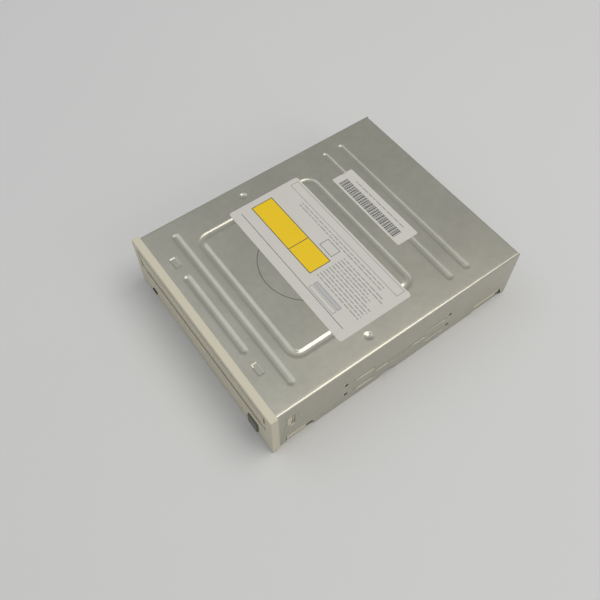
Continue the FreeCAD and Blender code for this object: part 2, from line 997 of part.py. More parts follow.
def bottom_cover():
    body = new_body("BottomPlate")
    plate_y = (case_front + s.fit_gap, case_rear)
    pad(body, "XY", (0, s.sheet_gauge), oblong(both(plate_half), plate_y))
    pad(body, "XZ", (case_rear - s.sheet_gauge, case_rear), oblong(both(plate_half), (0, s.upstand_height)))
    seat_z = (0, seat_height + s.sheet_gauge)
    pad(body, "XY", seat_z, *[flats(x, y, dish_radius) for x, y in screw_places])
    collar_z = (0, s.sheet_gauge + s.collar_length)
    pad(body, "XY", collar_z, *[flats(x, y, s.collar_radius) for x, y in floor_mounts])
    pocket(body, "XY", (0, seat_height), *[flats(x, y, dish_radius - s.sheet_gauge) for x, y in screw_places])
    pocket(body, "XY", seat_z, *[flats(x, y, screw_bore) for x, y in screw_places])
    pocket(body, "XY", collar_z, *[circle(x, y, s.mount_hole_radius) for x, y in floor_mounts])
    gap = s.fit_gap
    pocket(body, "XZ", (case_rear - 2 * s.sheet_gauge, case_rear), *[
        oblong(around(x, width / 2 + gap), (board_top - gap, board_top + height + gap))
        for x, width, height in sockets
    ])
    beads = [
        oblong(both(s.underside_rib_half_length),
               around(back(s.underside_rib_front + s.underside_rib_pitch * step), s.rib_width / 2))
        for step in range(3)
    ]
    pocket(body, "XY", (0, s.sheet_gauge / 2), *beads)
    return body


node("bottom_cover", bottom_cover())


def cover_screw(x, y):
    top = seat_height
    return joined(
        flatted("Z", (x, y), s.screw_head_radius, (top - s.screw_head_height, top)),
        flatted("Z", (x, y), s.screw_shank_radius, (top - s.screw_head_height / 2, s.screw_length)),
    )


node("bottom_screws", group(*[cover_screw(x, y) for x, y in screw_places]))


# Front panel: a moulded shell with a rim, snap arms in the windows of the side walls,
# and openings for the tray's door, the button, the lamp and the hand release.

door_half = s.door_width / 2
bezel_top = s.case_height + s.bezel_rise
door_top = bezel_top - s.door_headroom
button_x = around(s.button_place, s.button_width / 2)
button_z = (s.button_low, s.button_low + s.button_height)
window_x = around(s.window_place, s.window_width / 2)
window_z = (s.window_low, s.window_low + s.window_height)
arm_outer = inner_half - s.fit_gap
arm_inner = arm_outer - s.latch_arm_thick
arm_z = (s.latch_low + s.fit_gap, s.latch_low + s.latch_height - s.fit_gap)
hook_y = (back(s.latch_place + s.fit_gap), back(s.latch_place + s.latch_hook_length))


def bezel_shell():
    body = new_body("BezelShell")
    half = half_case + s.bezel_overhang
    rim = half_case - s.sheet_gauge - s.fit_gap
    pad(body, "XZ", (face, case_front), oblong(both(half), (0, bezel_top)))

    def corner_edge(edge):
        return runs_along(edge, "Y")

    rounded(body, s.bezel_corner, corner_edge)

    def front_edge(edge):
        return near(edge.BoundBox.YMax, face.value)

    bevelled(body, s.bezel_edge, front_edge)
    pocket(
        body, "XZ", (face + s.bezel_wall, case_front),
        oblong(both(rim), (s.sheet_gauge * 2, top_inside - s.fit_gap)),
    )
    gap = s.door_gap
    pocket(
        body, "XZ", (face, face + s.bezel_wall),
        oblong(both(door_half + gap), (s.door_low - gap, door_top + gap)),
        oblong(wider(button_x, gap / 2), wider(button_z, gap / 2)),
        oblong(window_x, window_z),
        circle(s.release_hole_place, s.release_hole_height, s.release_hole_radius),
    )
    return body


def snap_arm(sign):
    """A springy arm behind the panel, with a hook that stands in the side wall's window."""
    def side(low, high):
        return (low, high) if sign > 0 else (-high, -low)

    root = block(side(arm_inner, half_case), (face + s.bezel_wall, case_front - s.fit_gap), arm_z)
    tip = hook_y[1] + s.latch_arm_thick
    arm = block(side(arm_inner, arm_outer), (face + s.bezel_wall, tip), arm_z)
    hook = block(side(arm_outer - s.sunk, half_case - s.sheet_gauge / 4), hook_y, arm_z)
    return joined(root, arm, hook)


node("front_bezel", joined(bezel_shell(), snap_arm(-1), snap_arm(1)))

lens_back = face + s.bezel_wall


def indicator_lens():
    """A plug in the window, a flange behind the panel, and a light pipe back to the lamp."""
    plug = block(wider(window_x, -s.seat_gap), (face + s.seat_gap, lens_back), wider(window_z, -s.seat_gap))
    flange_y = (lens_back, lens_back + s.lens_flange)
    flange = block(wider(window_x, s.lens_lip), flange_y, wider(window_z, s.lens_lip))
    pipe = block(around(s.window_place, s.window_height), (lens_back, back(s.front_board_front)), window_z)
    return joined(plug, flange, pipe)


node("indicator_lens", indicator_lens())

# Button: a cap with a lip behind the panel and a stem that works the switch.

button_front = face - s.button_proud
lip_front = face + s.bezel_wall + s.fit_gap
switch_front = lip_front + s.button_lip + s.stem_length
plunger_front = switch_front - s.button_travel - s.fit_gap
button_centre = (s.button_place, s.button_low + s.button_height / 2)


def eject_button():
    cap = block(button_x, (button_front, lip_front + s.sunk), button_z)
    lip_y = (lip_front, lip_front + s.button_lip)
    lip = block(wider(button_x, s.button_lip), lip_y, wider(button_z, s.button_lip))
    stem = flatted("Y", button_centre, s.stem_radius, (lip_front, plunger_front))
    return joined(cap, lip, stem)


node("eject_button", eject_button())


# Chassis: one ivory moulding with side walls, a deck for the loader at the front, a wide
# opening for the lift frame, and the rails that carry the tray.

wall_outer = inner_half - s.chassis_gap
wall_inner = wall_outer - s.chassis_wall
deck_top = s.deck_low + s.deck_thick
deck_z = (s.deck_low, deck_top)
tray_half = s.tray_width / 2
chassis_top = s.case_height - s.sheet_gauge - s.chassis_headroom
runner_half = tray_half + s.runner_width
rail_top = s.runner_low - s.fit_gap
drive_x = s.rack_place + s.rack_module * s.drive_teeth / 2
drive_centre = (drive_x, back(s.drive_place))
train_reach = s.wheel_module * (s.wheel_teeth + s.pinion_teeth) / 2
wheel_centre = (
    drive_x + train_reach * cosine(s.train_angle),
    drive_centre[1] + train_reach * sine(s.train_angle),
)
motor_centre = (s.loading_motor_place, drive_centre[1])
motor_screws = [(motor_centre[0], motor_centre[1] + sign * s.motor_screw_offset) for sign in (-1, 1)]
board_posts = [(sign * s.cover_screw_offset, back(s.board_post_front)) for sign in (-1, 1)]
front_board_posts = [(x, back(s.front_post_place)) for x in (-s.front_post_left, s.front_post_right)]
pivot = (back(s.pivot_place), s.pivot_height)
ear_inner = s.opening_half_width + s.fit_gap
front_board_top = s.front_board_low + s.front_board_thick


def sides(low, high):
    """The limits of a pair of like things on both sides of the middle plane."""
    return [(-high, -low), (low, high)]


def chassis_walls():
    pieces = []
    span = (case_front + s.fit_gap * 2, back(s.chassis_rear))
    for x in sides(wall_inner, wall_outer):
        pieces.append(block(x, span, (s.chassis_low, chassis_top)))
    rear = (back(s.chassis_rear) - s.chassis_wall, back(s.chassis_rear))
    pieces.append(block(both(wall_outer), rear, (s.deck_low, chassis_top)))
    return pieces


def chassis_deck():
    deck = block(both(wall_inner + s.sunk), (back(s.deck_front), back(s.chassis_rear)), deck_z)
    opening_y = (back(s.opening_front), back(s.opening_rear))
    opening = block(both(s.opening_half_width), opening_y, (0, chassis_top))
    return less(deck, opening)


def post(centre, low):
    x, y = centre
    return block(around(x, s.post_half), around(y, s.post_half), (low, s.deck_low + s.sunk))


def chassis_posts():
    """Square posts under the deck that take the cover's screws and the boards' screws."""
    return [
        *[post(centre, seat_height + s.sheet_gauge) for centre in screw_places],
        *[post(centre, board_top) for centre in board_posts],
        *[post(centre, front_board_top) for centre in front_board_posts],
    ]


def chassis_rails():
    """Ledges under the tray's runners, and hooks over them."""
    pieces = []
    ledge_y = (back(s.deck_front), back(s.runner_rear))
    hook_low = s.runner_low + s.runner_thick + s.fit_gap
    for x in sides(tray_half + s.fit_gap, wall_inner + s.sunk):
        pieces.append(block(x, ledge_y, (deck_top - s.sunk, rail_top)))
    for x in sides(tray_half + s.rail_gap, wall_inner + s.sunk):
        for start in (s.deck_front, s.bridge_front, s.rear_hook_place):
            hook_y = (back(start), back(start) + s.clip_width)
            pieces.append(block(x, hook_y, (hook_low, hook_low + s.runner_thick)))
    for x in sides(s.ledge_half_length, wall_inner + s.sunk):
        pieces.append(block(x, (back(s.bridge_front), back(s.bridge_rear)), (s.ledge_low, s.bridge_low)))
    return pieces


def chassis_ears():
    """Ears beside the opening, bored for the lift frame's pivots."""
    pieces = []
    for x in sides(ear_inner, ear_inner + s.ear_thick):
        span = around(pivot[0], s.ear_half_length)
        pieces.append(block(x, span, (pivot[1] - s.ear_half_length, s.deck_low + s.sunk)))
    return pieces


def chassis_feet():
    """Pads that fill the notches in the cover's side walls."""
    pieces = []
    for x in sides(wall_inner, half_case - s.fit_gap / 2):
        for start, length, height in (
            (s.front_notch_place, s.front_notch_length, s.front_notch_height),
            (s.rear_notch_place, s.rear_notch_length, s.rear_notch_height),
        ):
            span = (back(start) + s.rail_gap, back(start + length) - s.notch_slope)
            pieces.append(block(x, span, (height - s.foot_height, height - s.rail_gap)))
    return pieces


def chassis_cuts():
    """Room for the bay's screws, the snap arms, the shafts and the screws of the loader."""
    cuts = []
    clear = s.collar_radius + s.bay_screw_room
    for x in sides(wall_inner - s.past, wall_outer + s.past):
        for y in mount_depths:
            cuts.append(block(x, around(y, clear), (0, mount_high + clear)))
    room = s.fit_gap * 2
    arm_room = (case_front, hook_y[1] + s.latch_arm_thick + room)
    for x in sides(arm_inner - room, wall_outer + s.past):
        cuts.append(block(x, arm_room, wider(arm_z, room)))
    cuts.append(rod("X", pivot, s.pivot_radius + s.running_gap, both(ear_inner + s.ear_thick + s.past)))
    cuts.append(flatted("Z", motor_centre, s.pulley_radius + s.pulley_room, through(deck_z)))
    for centre in motor_screws:
        cuts.append(flatted("Z", centre, screw_bore, through(deck_z)))
    for centre in screw_places + board_posts + front_board_posts:
        cuts.append(flatted("Z", centre, screw_bore, (0, s.deck_low)))
    for x in (-s.bridge_screw_offset, s.bridge_screw_offset):
        cuts.append(flatted("Z", (x, disc_y), screw_bore, through((s.ledge_low, s.bridge_low))))
    return cuts


def chassis_spindles():
    return [
        rod("Z", drive_centre, s.spindle_radius, (deck_top - s.sunk, s.drive_top - s.fit_gap)),
        rod("Z", wheel_centre, s.spindle_radius, (deck_top - s.sunk, s.pinion_top + s.fit_gap)),
    ]


def main_frame():
    solid = joined(
        *chassis_walls(), chassis_deck(), *chassis_posts(), *chassis_rails(),
        *chassis_ears(), *chassis_feet(), *chassis_spindles(),
    )
    return less(solid, *chassis_cuts())


node("main_frame", main_frame())


# Teeth: heights in modules, the pressure angle, and the rack's teeth before and behind its
# gear, on top of those that the tray's travel takes.

PRESSURE = math.radians(20)
TOOTH_SLOPE = math.tan(PRESSURE)
ADDENDUM = 0.9
DEDENDUM = 1.2
ROOT_DEPTH = 0.3
LEAD_TEETH = 2
rack_teeth = int(s.tray_travel.value / (math.pi * s.rack_module.value)) + LEAD_TEETH

# Tray: a moulded drawer with two disc recesses, a slot for the turntable and the pickup,
# runners along both sides and a rack under its left half.

front_wall_y = (back(s.tray_front), back(s.tray_front + s.tray_wall))
tray_y = (front_wall_y[1] - s.sunk, back(s.tray_rear))
clip_z = (s.tray_top + s.clip_rise, s.tray_top + s.clip_rise + s.clip_thick)
tray_z = (s.tray_low, s.tray_top)


def tray_deck():
    body = new_body("TrayDeck")
    pad(body, "XY", tray_z, oblong(both(tray_half), tray_y))
    pocket(body, "XY", (s.disc_floor, s.tray_top), circle(0, disc_y, s.disc_recess_radius))
    pocket(body, "XY", (s.small_floor, s.disc_floor), circle(0, disc_y, s.small_recess_radius))
    pocket(body, "XY", (0, s.tray_top), circle(0, disc_y, s.hub_opening_radius))
    pocket(body, "XY", (0, s.tray_top), oblong(both(s.slot_half_width), (disc_y, tray_y[1] + s.past)))
    return body


def tray_hollow():
    """The space under the raised corners, inside their walls."""
    wall = s.tray_wall
    space = block(both(tray_half - wall), wider(tray_y, -wall), (0, s.tray_top - wall))
    ring = rod("Z", (0, disc_y), s.disc_recess_radius + wall, (-s.past, s.tray_top))
    spine = block(both(s.slot_half_width + wall), (disc_y, tray_y[1]), (-s.past, s.tray_top))
    return less(space, ring, spine)


def tray_runners():
    pieces = []
    span = (back(s.runner_front), back(s.runner_rear))
    wall = s.tray_wall
    for x in sides(tray_half - wall, tray_half):
        pieces.append(block(x, span, (s.runner_low, s.tray_low + s.sunk)))
    for x in sides(tray_half - wall, runner_half):
        pieces.append(block(x, span, (s.runner_low, s.runner_low + s.runner_thick)))
    return pieces


def tray_front_wall():
    """The wall that the door clips to, with a window for each clip."""
    wall = block(both(s.tray_front_half_width), front_wall_y, (s.tray_low, door_top - s.tray_front_drop))
    half = s.clip_width / 2 + s.fit_gap
    windows = [
        block(around(sign * s.clip_offset, half), through(front_wall_y), wider(clip_z, s.fit_gap))
        for sign in (-1, 1)
    ]
    return less(wall, *windows)


def rack():
    """Straight-sided teeth along the inner side of a bar under the tray."""
    body = new_body("RackBar")
    pitch = s.rack_module * math.pi
    half_root = pitch / 4 + s.rack_module * DEDENDUM * TOOTH_SLOPE
    half_tip = pitch / 4 - s.rack_module * ADDENDUM * TOOTH_SLOPE - s.backlash / 2
    root = s.rack_place - s.rack_module * DEDENDUM
    tip = s.rack_place + s.rack_module * ADDENDUM
    span = (back(s.rack_front), back(s.rack_front) + pitch * (rack_teeth + 1))
    bar_z = (s.rack_low, s.tray_low + s.sunk)
    pad(body, "XY", bar_z, oblong((root - s.rack_back, root + s.running_gap), span))
    first = drive_centre[1] - pitch * (LEAD_TEETH - 0.5)
    tooth = pad(body, "XY", bar_z, closed([
        (root, first - half_root), (tip, first - half_tip),
        (tip, first + half_tip), (root, first + half_root),
    ]))
    row = body.newObject("PartDesign::LinearPattern", "Teeth")
    row.Originals = [tooth]
    axis = [feature for feature in body.Origin.OriginFeatures if feature.Role == "Y_Axis"][0]
    row.Direction = (axis, [""])
    bind(row, "Length", pitch * (rack_teeth - 1))
    row.Occurrences = rack_teeth
    body.Tip = row
    return body


node("tray", joined(less(tray_deck(), tray_hollow()), *tray_runners(), tray_front_wall(), rack()))


# Door: the part of the front that rides out with the tray, hollow behind, on two clips.

def door_shell():
    body = new_body("DoorShell")
    pad(body, "XZ", (face, face + s.door_thick), oblong(both(door_half), (s.door_low, door_top)))

    def lower_corner(edge):
        return runs_along(edge, "Y") and near(edge.Vertexes[0].Point.z, s.door_low.value)

    rounded(body, s.door_corner, lower_corner)
    rim = s.door_skin
    pocket(
        body, "XZ", (face + s.door_skin, face + s.door_thick),
        oblong(both(door_half - rim), (s.door_low + rim, door_top - rim)),
    )
    pocket(
        body, "XZ", (face, face + s.door_step_depth),
        oblong(both(door_half + s.past), (s.door_low - s.past, s.door_step_height)),
    )
    return body


def door_clips():
    """Two arms through the tray's front wall, with barbs behind it."""
    pieces = []
    clip_end = back(s.clip_reach)
    for sign in (-1, 1):
        x = around(sign * s.clip_offset, s.clip_width / 2)
        pieces.append(block(x, (face + s.door_skin - s.sunk, clip_end), clip_z))
        barb_y = (front_wall_y[1] + s.fit_gap, clip_end)
        pieces.append(block(x, barb_y, (clip_z[0], clip_z[1] + s.clip_barb)))
    return pieces


node("tray_door", joined(door_shell(), *door_clips()))


# Gears: involute flanks of two straight cuts, on a root disc, cut for a small backlash.

def involute(angle):
    return math.tan(angle) - angle


def tooth_outline(teeth, module, backlash):
    """Points of one tooth about +X, in modules: root, pitch circle and tip on each side."""
    pitch = teeth / 2
    base = pitch * math.cos(PRESSURE)
    tip = pitch + ADDENDUM
    root = pitch - DEDENDUM
    half = math.pi / (2 * teeth) - backlash / (4 * pitch * module)
    flank = []
    for radius in (max(base, root), pitch, tip):
        opening = math.acos(min(1, base / radius))
        flank.append((radius, half + involute(PRESSURE) - involute(opening)))
    flank[0] = (root - ROOT_DEPTH, flank[0][1])
    upper = [(radius * math.cos(angle), radius * math.sin(angle)) for radius, angle in flank]
    return [(x, -y) for x, y in upper] + upper[::-1]


def gear(name, centre, teeth, module, limits, turn):
    """A toothed disc with its bore left to the caller, its tooth 0 turned from +X by an angle."""
    body = new_body(name)
    root = module * (teeth / 2 - DEDENDUM)
    pad(body, "XY", limits, circle(0, 0, root))
    outline = tooth_outline(teeth.value, module.value, s.backlash.value)
    tooth = pad(body, "XY", limits, closed([(module * x, module * y) for x, y in outline]))
    ring = body.newObject("PartDesign::PolarPattern", "Teeth")
    ring.Originals = [tooth]
    axis = [feature for feature in body.Origin.OriginFeatures if feature.Role == "Z_Axis"][0]
    ring.Axis = (axis, [""])
    ring.Angle = 360
    ring.Occurrences = int(teeth.value)
    body.Tip = ring
    body.Placement = Placement(Vector(), Rotation(Vector(0, 0, 1), turn))
    place(body, centre[0], centre[1], 0)
    return body


def tray_gear():
    bore = s.spindle_radius + s.running_gap
    drive_z = (s.drive_low - s.sunk, s.drive_top)
    small = gear("DriveTeeth", drive_centre, s.drive_teeth, s.rack_module, drive_z, 0)
    large = gear(
        "WheelTeeth", drive_centre, s.wheel_teeth, s.wheel_module,
        (s.wheel_low, s.wheel_low + s.wheel_thick), s.train_angle.value,
    )
    collar = rod("Z", drive_centre, s.spindle_radius * 2, (deck_top + s.seat_gap, s.wheel_low + s.sunk))
    return less(joined(small, large, collar), rod("Z", drive_centre, bore, through((deck_top, s.drive_top))))


node("tray_gear", tray_gear())


# Belt wheel: a grooved disc with a pinion on top.

belt_z = around(s.belt_wheel_low + s.belt_wheel_thick / 2, s.belt_size / 2)
wheel_groove = s.belt_wheel_radius - s.belt_groove
pulley_groove = s.pulley_radius - s.belt_groove


def grooved(centre, radius, groove, limits):
    """A disc with a square groove for the belt round its edge."""
    disc = rod("Z", centre, radius, limits)
    channel = tube("Z", centre, radius + s.past, groove, wider(belt_z, s.seat_gap))
    return less(disc, channel)


def belt_wheel():
    turn = s.train_angle.value + 180 + 180 / s.pinion_teeth.value
    pinion = gear(
        "PinionTeeth", wheel_centre, s.pinion_teeth, s.wheel_module,
        (s.belt_wheel_low + s.belt_wheel_thick - s.sunk, s.pinion_top), turn,
    )
    disc = grooved(wheel_centre, s.belt_wheel_radius, wheel_groove,
                   (s.belt_wheel_low, s.belt_wheel_low + s.belt_wheel_thick))
    bore = rod("Z", wheel_centre, s.spindle_radius + s.running_gap, through((deck_top, s.pinion_top)))
    return less(joined(disc, pinion), bore)


node("belt_wheel", belt_wheel())


def motor_pulley():
    disc = grooved(motor_centre, s.pulley_radius, pulley_groove, (s.pulley_low, s.pulley_top))
    bore = rod("Z", motor_centre, s.motor_shaft_radius, through((s.pulley_low, s.pulley_top)))
    return less(disc, bore)


node("motor_pulley", motor_pulley())


def loading_motor():
    top = s.deck_low
    can = rod("Z", motor_centre, s.loading_motor_radius, (top - s.loading_motor_height, top))
    boss = flatted("Z", motor_centre, s.motor_boss_radius, (top - s.sunk, deck_top - s.fit_gap))
    holes_z = (top - s.motor_screw_depth, top + s.past)
    holes = [flatted("Z", centre, screw_bore, holes_z) for centre in motor_screws]
    return less(joined(can, boss), *holes)


node("loading_motor", loading_motor())
shaft_z = (deck_top - s.fit_gap, s.pulley_top + s.fit_gap)
node("motor_shaft", rod("Z", motor_centre, s.motor_shaft_radius, shaft_z))
motor_shank_z = (s.deck_low - s.motor_screw_depth + s.sunk, deck_top + s.sunk)
node("motor_screws", group(*[
    joined(
        flatted("Z", centre, s.screw_head_radius, (deck_top, deck_top + s.screw_head_height)),
        flatted("Z", centre, s.screw_shank_radius, motor_shank_z),
    )
    for centre in motor_screws
]))


def drive_belt():
    """A square belt round both grooves: two arcs and the straight runs that touch them."""
    large = wheel_groove.value + s.belt_gap.value
    small = pulley_groove.value + s.belt_gap.value
    first = Vector(wheel_centre[0].value, wheel_centre[1].value, belt_z[0].value)
    second = Vector(motor_centre[0].value, motor_centre[1].value, belt_z[0].value)
    along = second - first
    lean = math.asin((large - small) / along.Length)
    heading = math.atan2(along.y, along.x)

    def band(extra):
        def at(centre, radius, angle):
            return centre + Vector(math.cos(angle), math.sin(angle), 0) * (radius + extra)

        up = heading + math.pi / 2 - lean
        down = heading - math.pi / 2 + lean
        wheel_up = at(first, large, up)
        wheel_down = at(first, large, down)
        pulley_up = at(second, small, up)
        pulley_down = at(second, small, down)
        edges = [
            Part.LineSegment(wheel_down, pulley_down).toShape(),
            Part.Arc(pulley_down, at(second, small, heading), pulley_up).toShape(),
            Part.LineSegment(pulley_up, wheel_up).toShape(),
            Part.Arc(wheel_up, at(first, large, heading + math.pi), wheel_down).toShape(),
        ]
        return Part.Face(Part.Wire(edges)).extrude(Vector(0, 0, s.belt_size.value))

    made = doc.addObject("Part::Feature", "Belt")
    made.Shape = band(s.belt_size.value).cut(band(0))
    made.Placement = Placement()
    return made


node("drive_belt", drive_belt())


# Cam slide: a bar on the deck whose upright plate has two sloping slots. They carry the
# pins at the front of the lift frame, so the slide raises and lowers it.

def root(size):
    return Size(f"sqrt({size.text})", math.sqrt(size.value))


cam_y = (back(s.cam_plate_place), back(s.cam_plate_place + s.cam_plate_thick))
cam_x = around(s.cam_centre, s.cam_half_length)
cam_top = s.cam_bar_low + s.cam_bar_thick
pin_reach = s.pivot_place - s.cam_plate_place - s.cam_plate_thick / 2
cam_drop = pin_reach * sine(s.lift_angle)
cam_slot_radius = s.cam_pin_radius + s.cam_pin_gap
cam_slope = root(s.cam_travel * s.cam_travel + cam_drop * cam_drop)


def cam_slider():
    body = new_body("CamSlide")
    pad(body, "XY", (s.cam_bar_low, cam_top), oblong(cam_x, (cam_y[0] - s.cam_bar_width, cam_y[1])))
    pad(body, "XZ", cam_y, oblong(cam_x, (s.cam_plate_low, cam_top)))
    slot_y = through(cam_y)
    across = (cam_slot_radius * cam_drop / cam_slope, cam_slot_radius * s.cam_travel / cam_slope)
    for sign in (-1, 1):
        high = (sign * s.cam_pin_offset, s.cam_pin_height)
        low = (high[0] - s.cam_travel, high[1] - cam_drop)
        pocket(body, "XZ", slot_y, closed([
            (high[0] - across[0], high[1] + across[1]), (low[0] - across[0], low[1] + across[1]),
            (low[0] + across[0], low[1] - across[1]), (high[0] + across[0], high[1] - across[1]),
        ]))
        pocket(body, "XZ", slot_y, circle(*high, cam_slot_radius))
        pocket(body, "XZ", slot_y, circle(*low, cam_slot_radius))
    return body


node("cam_slider", cam_slider())


# Lift frame: a moulded frame on two pivots at the rear, with two pins at the front. The
# traverse plate stands on it on four rubber dampers.

damper_depths = (back(s.damper_front), back(s.damper_rear))
damper_places = [(sign * s.damper_offset, y) for sign in (-1, 1) for y in damper_depths]
lift_y = (back(s.lift_front), back(s.lift_rear))
lift_z = (s.lift_low, s.lift_top)
traverse_low = s.lift_top + s.damper_flange
traverse_top = traverse_low + s.traverse_gauge
step_bore = s.cam_pin_radius + s.running_gap


def lift_frame():
    solid = block(both(s.lift_half_width), lift_y, lift_z)
    window_y = (back(s.lift_window_front), back(s.lift_window_rear))
    window = block(both(s.lift_half_width - s.lift_bar), window_y, through(lift_z))
    trough = block(
        both(s.lift_half_width - s.lift_wall), wider(lift_y, -s.tray_wall),
        (s.lift_low - s.past, s.lift_low + s.lift_wall),
    )
    pin_y = (cam_y[0] - s.fit_gap, lift_y[0] + s.sunk)
    pins = [
        rod("Y", (sign * s.cam_pin_offset, s.cam_pin_height), s.cam_pin_radius, pin_y) for sign in (-1, 1)
    ]
    trunnions = [
        rod("X", pivot, s.pivot_radius, ends)
        for ends in sides(s.lift_half_width - s.sunk, ear_inner + s.ear_thick - s.fit_gap)
    ]
    bosses = [flatted("Z", centre, s.damper_radius, lift_z) for centre in damper_places]
    bores = [flatted("Z", centre, step_bore, through(lift_z)) for centre in damper_places]
    return less(joined(less(solid, window, trough), *pins, *trunnions, *bosses), *bores)


node("lift_frame", lift_frame())


def traverse_plate():
    body = new_body("TraversePlate")
    window = oblong(
        (-s.traverse_window_left, s.traverse_window_right),
        (back(s.traverse_window_front), back(s.traverse_window_rear)),
    )
    outline = oblong(both(s.traverse_half_width), (back(s.traverse_front), back(s.traverse_rear)))
    holes = [flats(x, y, s.damper_neck) for x, y in damper_places]
    pad(body, "XY", (traverse_low, traverse_top), outline, window, *holes)

    def corner(edge):
        point = edge.Vertexes[0].Point
        return runs_along(edge, "Z") and near(abs(point.x), s.traverse_half_width.value)

    rounded(body, s.damper_radius / 2, corner)
    return body


node("traverse_plate", traverse_plate())


def damper(centre):
    """A rubber bush with a neck in the plate and a flange on each side of it."""
    levels = (s.lift_top, traverse_top + s.damper_flange)
    solid = joined(
        flatted("Z", centre, s.damper_radius, (levels[0], traverse_low)),
        flatted("Z", centre, s.damper_neck, levels),
        flatted("Z", centre, s.damper_radius, (traverse_top, levels[1])),
    )
    return less(solid, flatted("Z", centre, step_bore, through(levels)))


def step_screw(centre):
    seat = traverse_top + s.damper_flange
    return joined(
        flatted("Z", centre, s.step_head_radius, (seat, seat + s.screw_head_height)),
        flatted("Z", centre, s.cam_pin_radius, (s.lift_low, seat + s.sunk)),
    )


node("dampers", group(*[damper(centre) for centre in damper_places]))
node("step_screws", group(*[step_screw(centre) for centre in damper_places]))


# Spindle motor, turntable with its rubber pad, and the sprung hub that centres the disc

spindle = (0, disc_y)
base_top = traverse_top + s.spindle_base_thick


def spindle_motor():
    tab_y = (disc_y - s.spindle_base_radius - s.spindle_tab_reach, disc_y)
    tab = block(both(s.spindle_tab_length), tab_y, (traverse_top, base_top))
    plate = rod("Z", spindle, s.spindle_base_radius, (traverse_top, base_top))
    stator_top = base_top + s.stator_height
    stator = flatted("Z", spindle, s.stator_radius, (base_top - s.sunk, stator_top))
    sleeve = flatted("Z", spindle, s.shaft_radius * 2, (traverse_top, stator_top + s.sleeve_rise))
    bore = rod("Z", spindle, s.shaft_radius + s.running_gap, (traverse_top - s.past, s.turntable_low))
    return less(joined(tab, plate, stator, sleeve), bore)


node("spindle_motor", spindle_motor())


def turntable():
    """The rotor's can below, the platter above it and the shaft, turned in one profile."""
    made = doc.addObject("PartDesign::Body", "TurntableProfile")
    can = s.rotor_top - s.spindle_base_thick
    outline = closed([
        (0, traverse_top), (s.shaft_radius, traverse_top), (s.shaft_radius, can),
        (s.rotor_radius - s.spindle_base_thick, can), (s.rotor_radius - s.spindle_base_thick, s.rotor_low),
        (s.rotor_radius, s.rotor_low), (s.rotor_radius, s.rotor_top),
        (s.stator_radius / 2, s.rotor_top), (s.stator_radius / 2, s.turntable_low),
        (s.turntable_radius, s.turntable_low), (s.turntable_radius, s.turntable_top), (0, s.turntable_top),
    ])
    turned = made.newObject("PartDesign::Revolution", "Turned")
    turned.Profile = sketched(made, "XZ", 0, [outline])
    turned.ReferenceAxis = (turned.Profile[0], ["V_Axis"])
    turned.Angle = 360
    made.Tip = turned
    place(made, 0, disc_y, 0)
    return made


disc_plane = s.turntable_top + s.pad_thick
node("turntable", turntable())
pad_z = (s.turntable_top, disc_plane)
node("turntable_pad", tube("Z", spindle, s.pad_outer_radius, s.pad_inner_radius, pad_z))
hub_shoulder = s.hub_top - s.hub_cone_height
node("hub", joined(
    rod("Z", spindle, s.hub_radius, (s.turntable_top, hub_shoulder)),
    cone("Z", spindle, (s.hub_radius, s.hub_tip_radius), (hub_shoulder, s.hub_top)),
))


# Pickup: a die-cast carriage on two rods, moved by a lead screw, with the lens on its holder

rod_lines = [(sign * s.rod_offset, s.rod_height) for sign in (-1, 1)]
rod_y = (back(s.rod_front), back(s.rod_rear))
screw_line = (s.screw_line, s.screw_line_height)
pickup_y = (back(s.pickup_front), back(s.pickup_front + s.pickup_length))
lens = (0, back(s.lens_place))
journal = s.lead_screw_radius / 2
motor_front = back(s.sled_motor_place)

node("guide_rods", group(*[rod("Y", line, s.rod_radius, rod_y) for line in rod_lines]))


def rod_clamp(line, ends):
    holder = block(around(line[0], s.clamp_width / 2), ends, (s.clamp_low, traverse_low))
    return less(holder, flatted("Y", line, around_round(s.rod_radius), through(ends)))


node("rod_clamps", group(*[
    rod_clamp(line, ends)
    for line in rod_lines
    for ends in ((rod_y[0], rod_y[0] + s.clamp_length), (rod_y[1] - s.clamp_length, rod_y[1]))
]))


def lead_screw():
    start = back(s.lead_screw_front)
    return joined(
        rod("Y", screw_line, s.lead_screw_radius, (start, motor_front - s.traverse_gauge - s.fit_gap)),
        rod("Y", screw_line, journal, (start - s.journal_length, motor_front + s.journal_length)),
    )


node("lead_screw", lead_screw())


def sled_motor():
    can = rod("Y", screw_line, s.sled_motor_radius, (motor_front, motor_front + s.sled_motor_length))
    bore_y = (motor_front - s.past, motor_front + s.journal_length + s.fit_gap)
    bore = rod("Y", screw_line, journal + s.running_gap, bore_y)
    return less(can, bore)


def screw_bracket():
    """The plate behind the lead screw that carries its motor, and the bearing at the front."""
    side = s.lift_half_width - s.lift_bar - s.fit_gap * 2
    low = s.screw_line_height - s.sled_motor_radius
    plate_y = (motor_front - s.traverse_gauge, motor_front)
    plate = block((s.screw_line - s.sled_motor_radius, side), plate_y, (low, traverse_low))
    foot_x = (s.traverse_window_right + s.foot_inset, side)
    foot_z = (traverse_low - s.traverse_gauge, traverse_low)
    foot = block(foot_x, (motor_front - s.clamp_length, motor_front), foot_z)
    start = back(s.lead_screw_front) - s.fit_gap
    bearing_y = (start - s.journal_length, start)
    half = s.lead_screw_radius * 2
    bearing = block(around(s.screw_line, half), bearing_y, (s.screw_line_height - half, traverse_low))
    bore = rod("Y", screw_line, journal + s.running_gap, through((bearing_y[0], motor_front)))
    return group(less(joined(plate, foot), bore), less(bearing, bore))


node("sled_motor", sled_motor())
node("screw_bracket", screw_bracket())


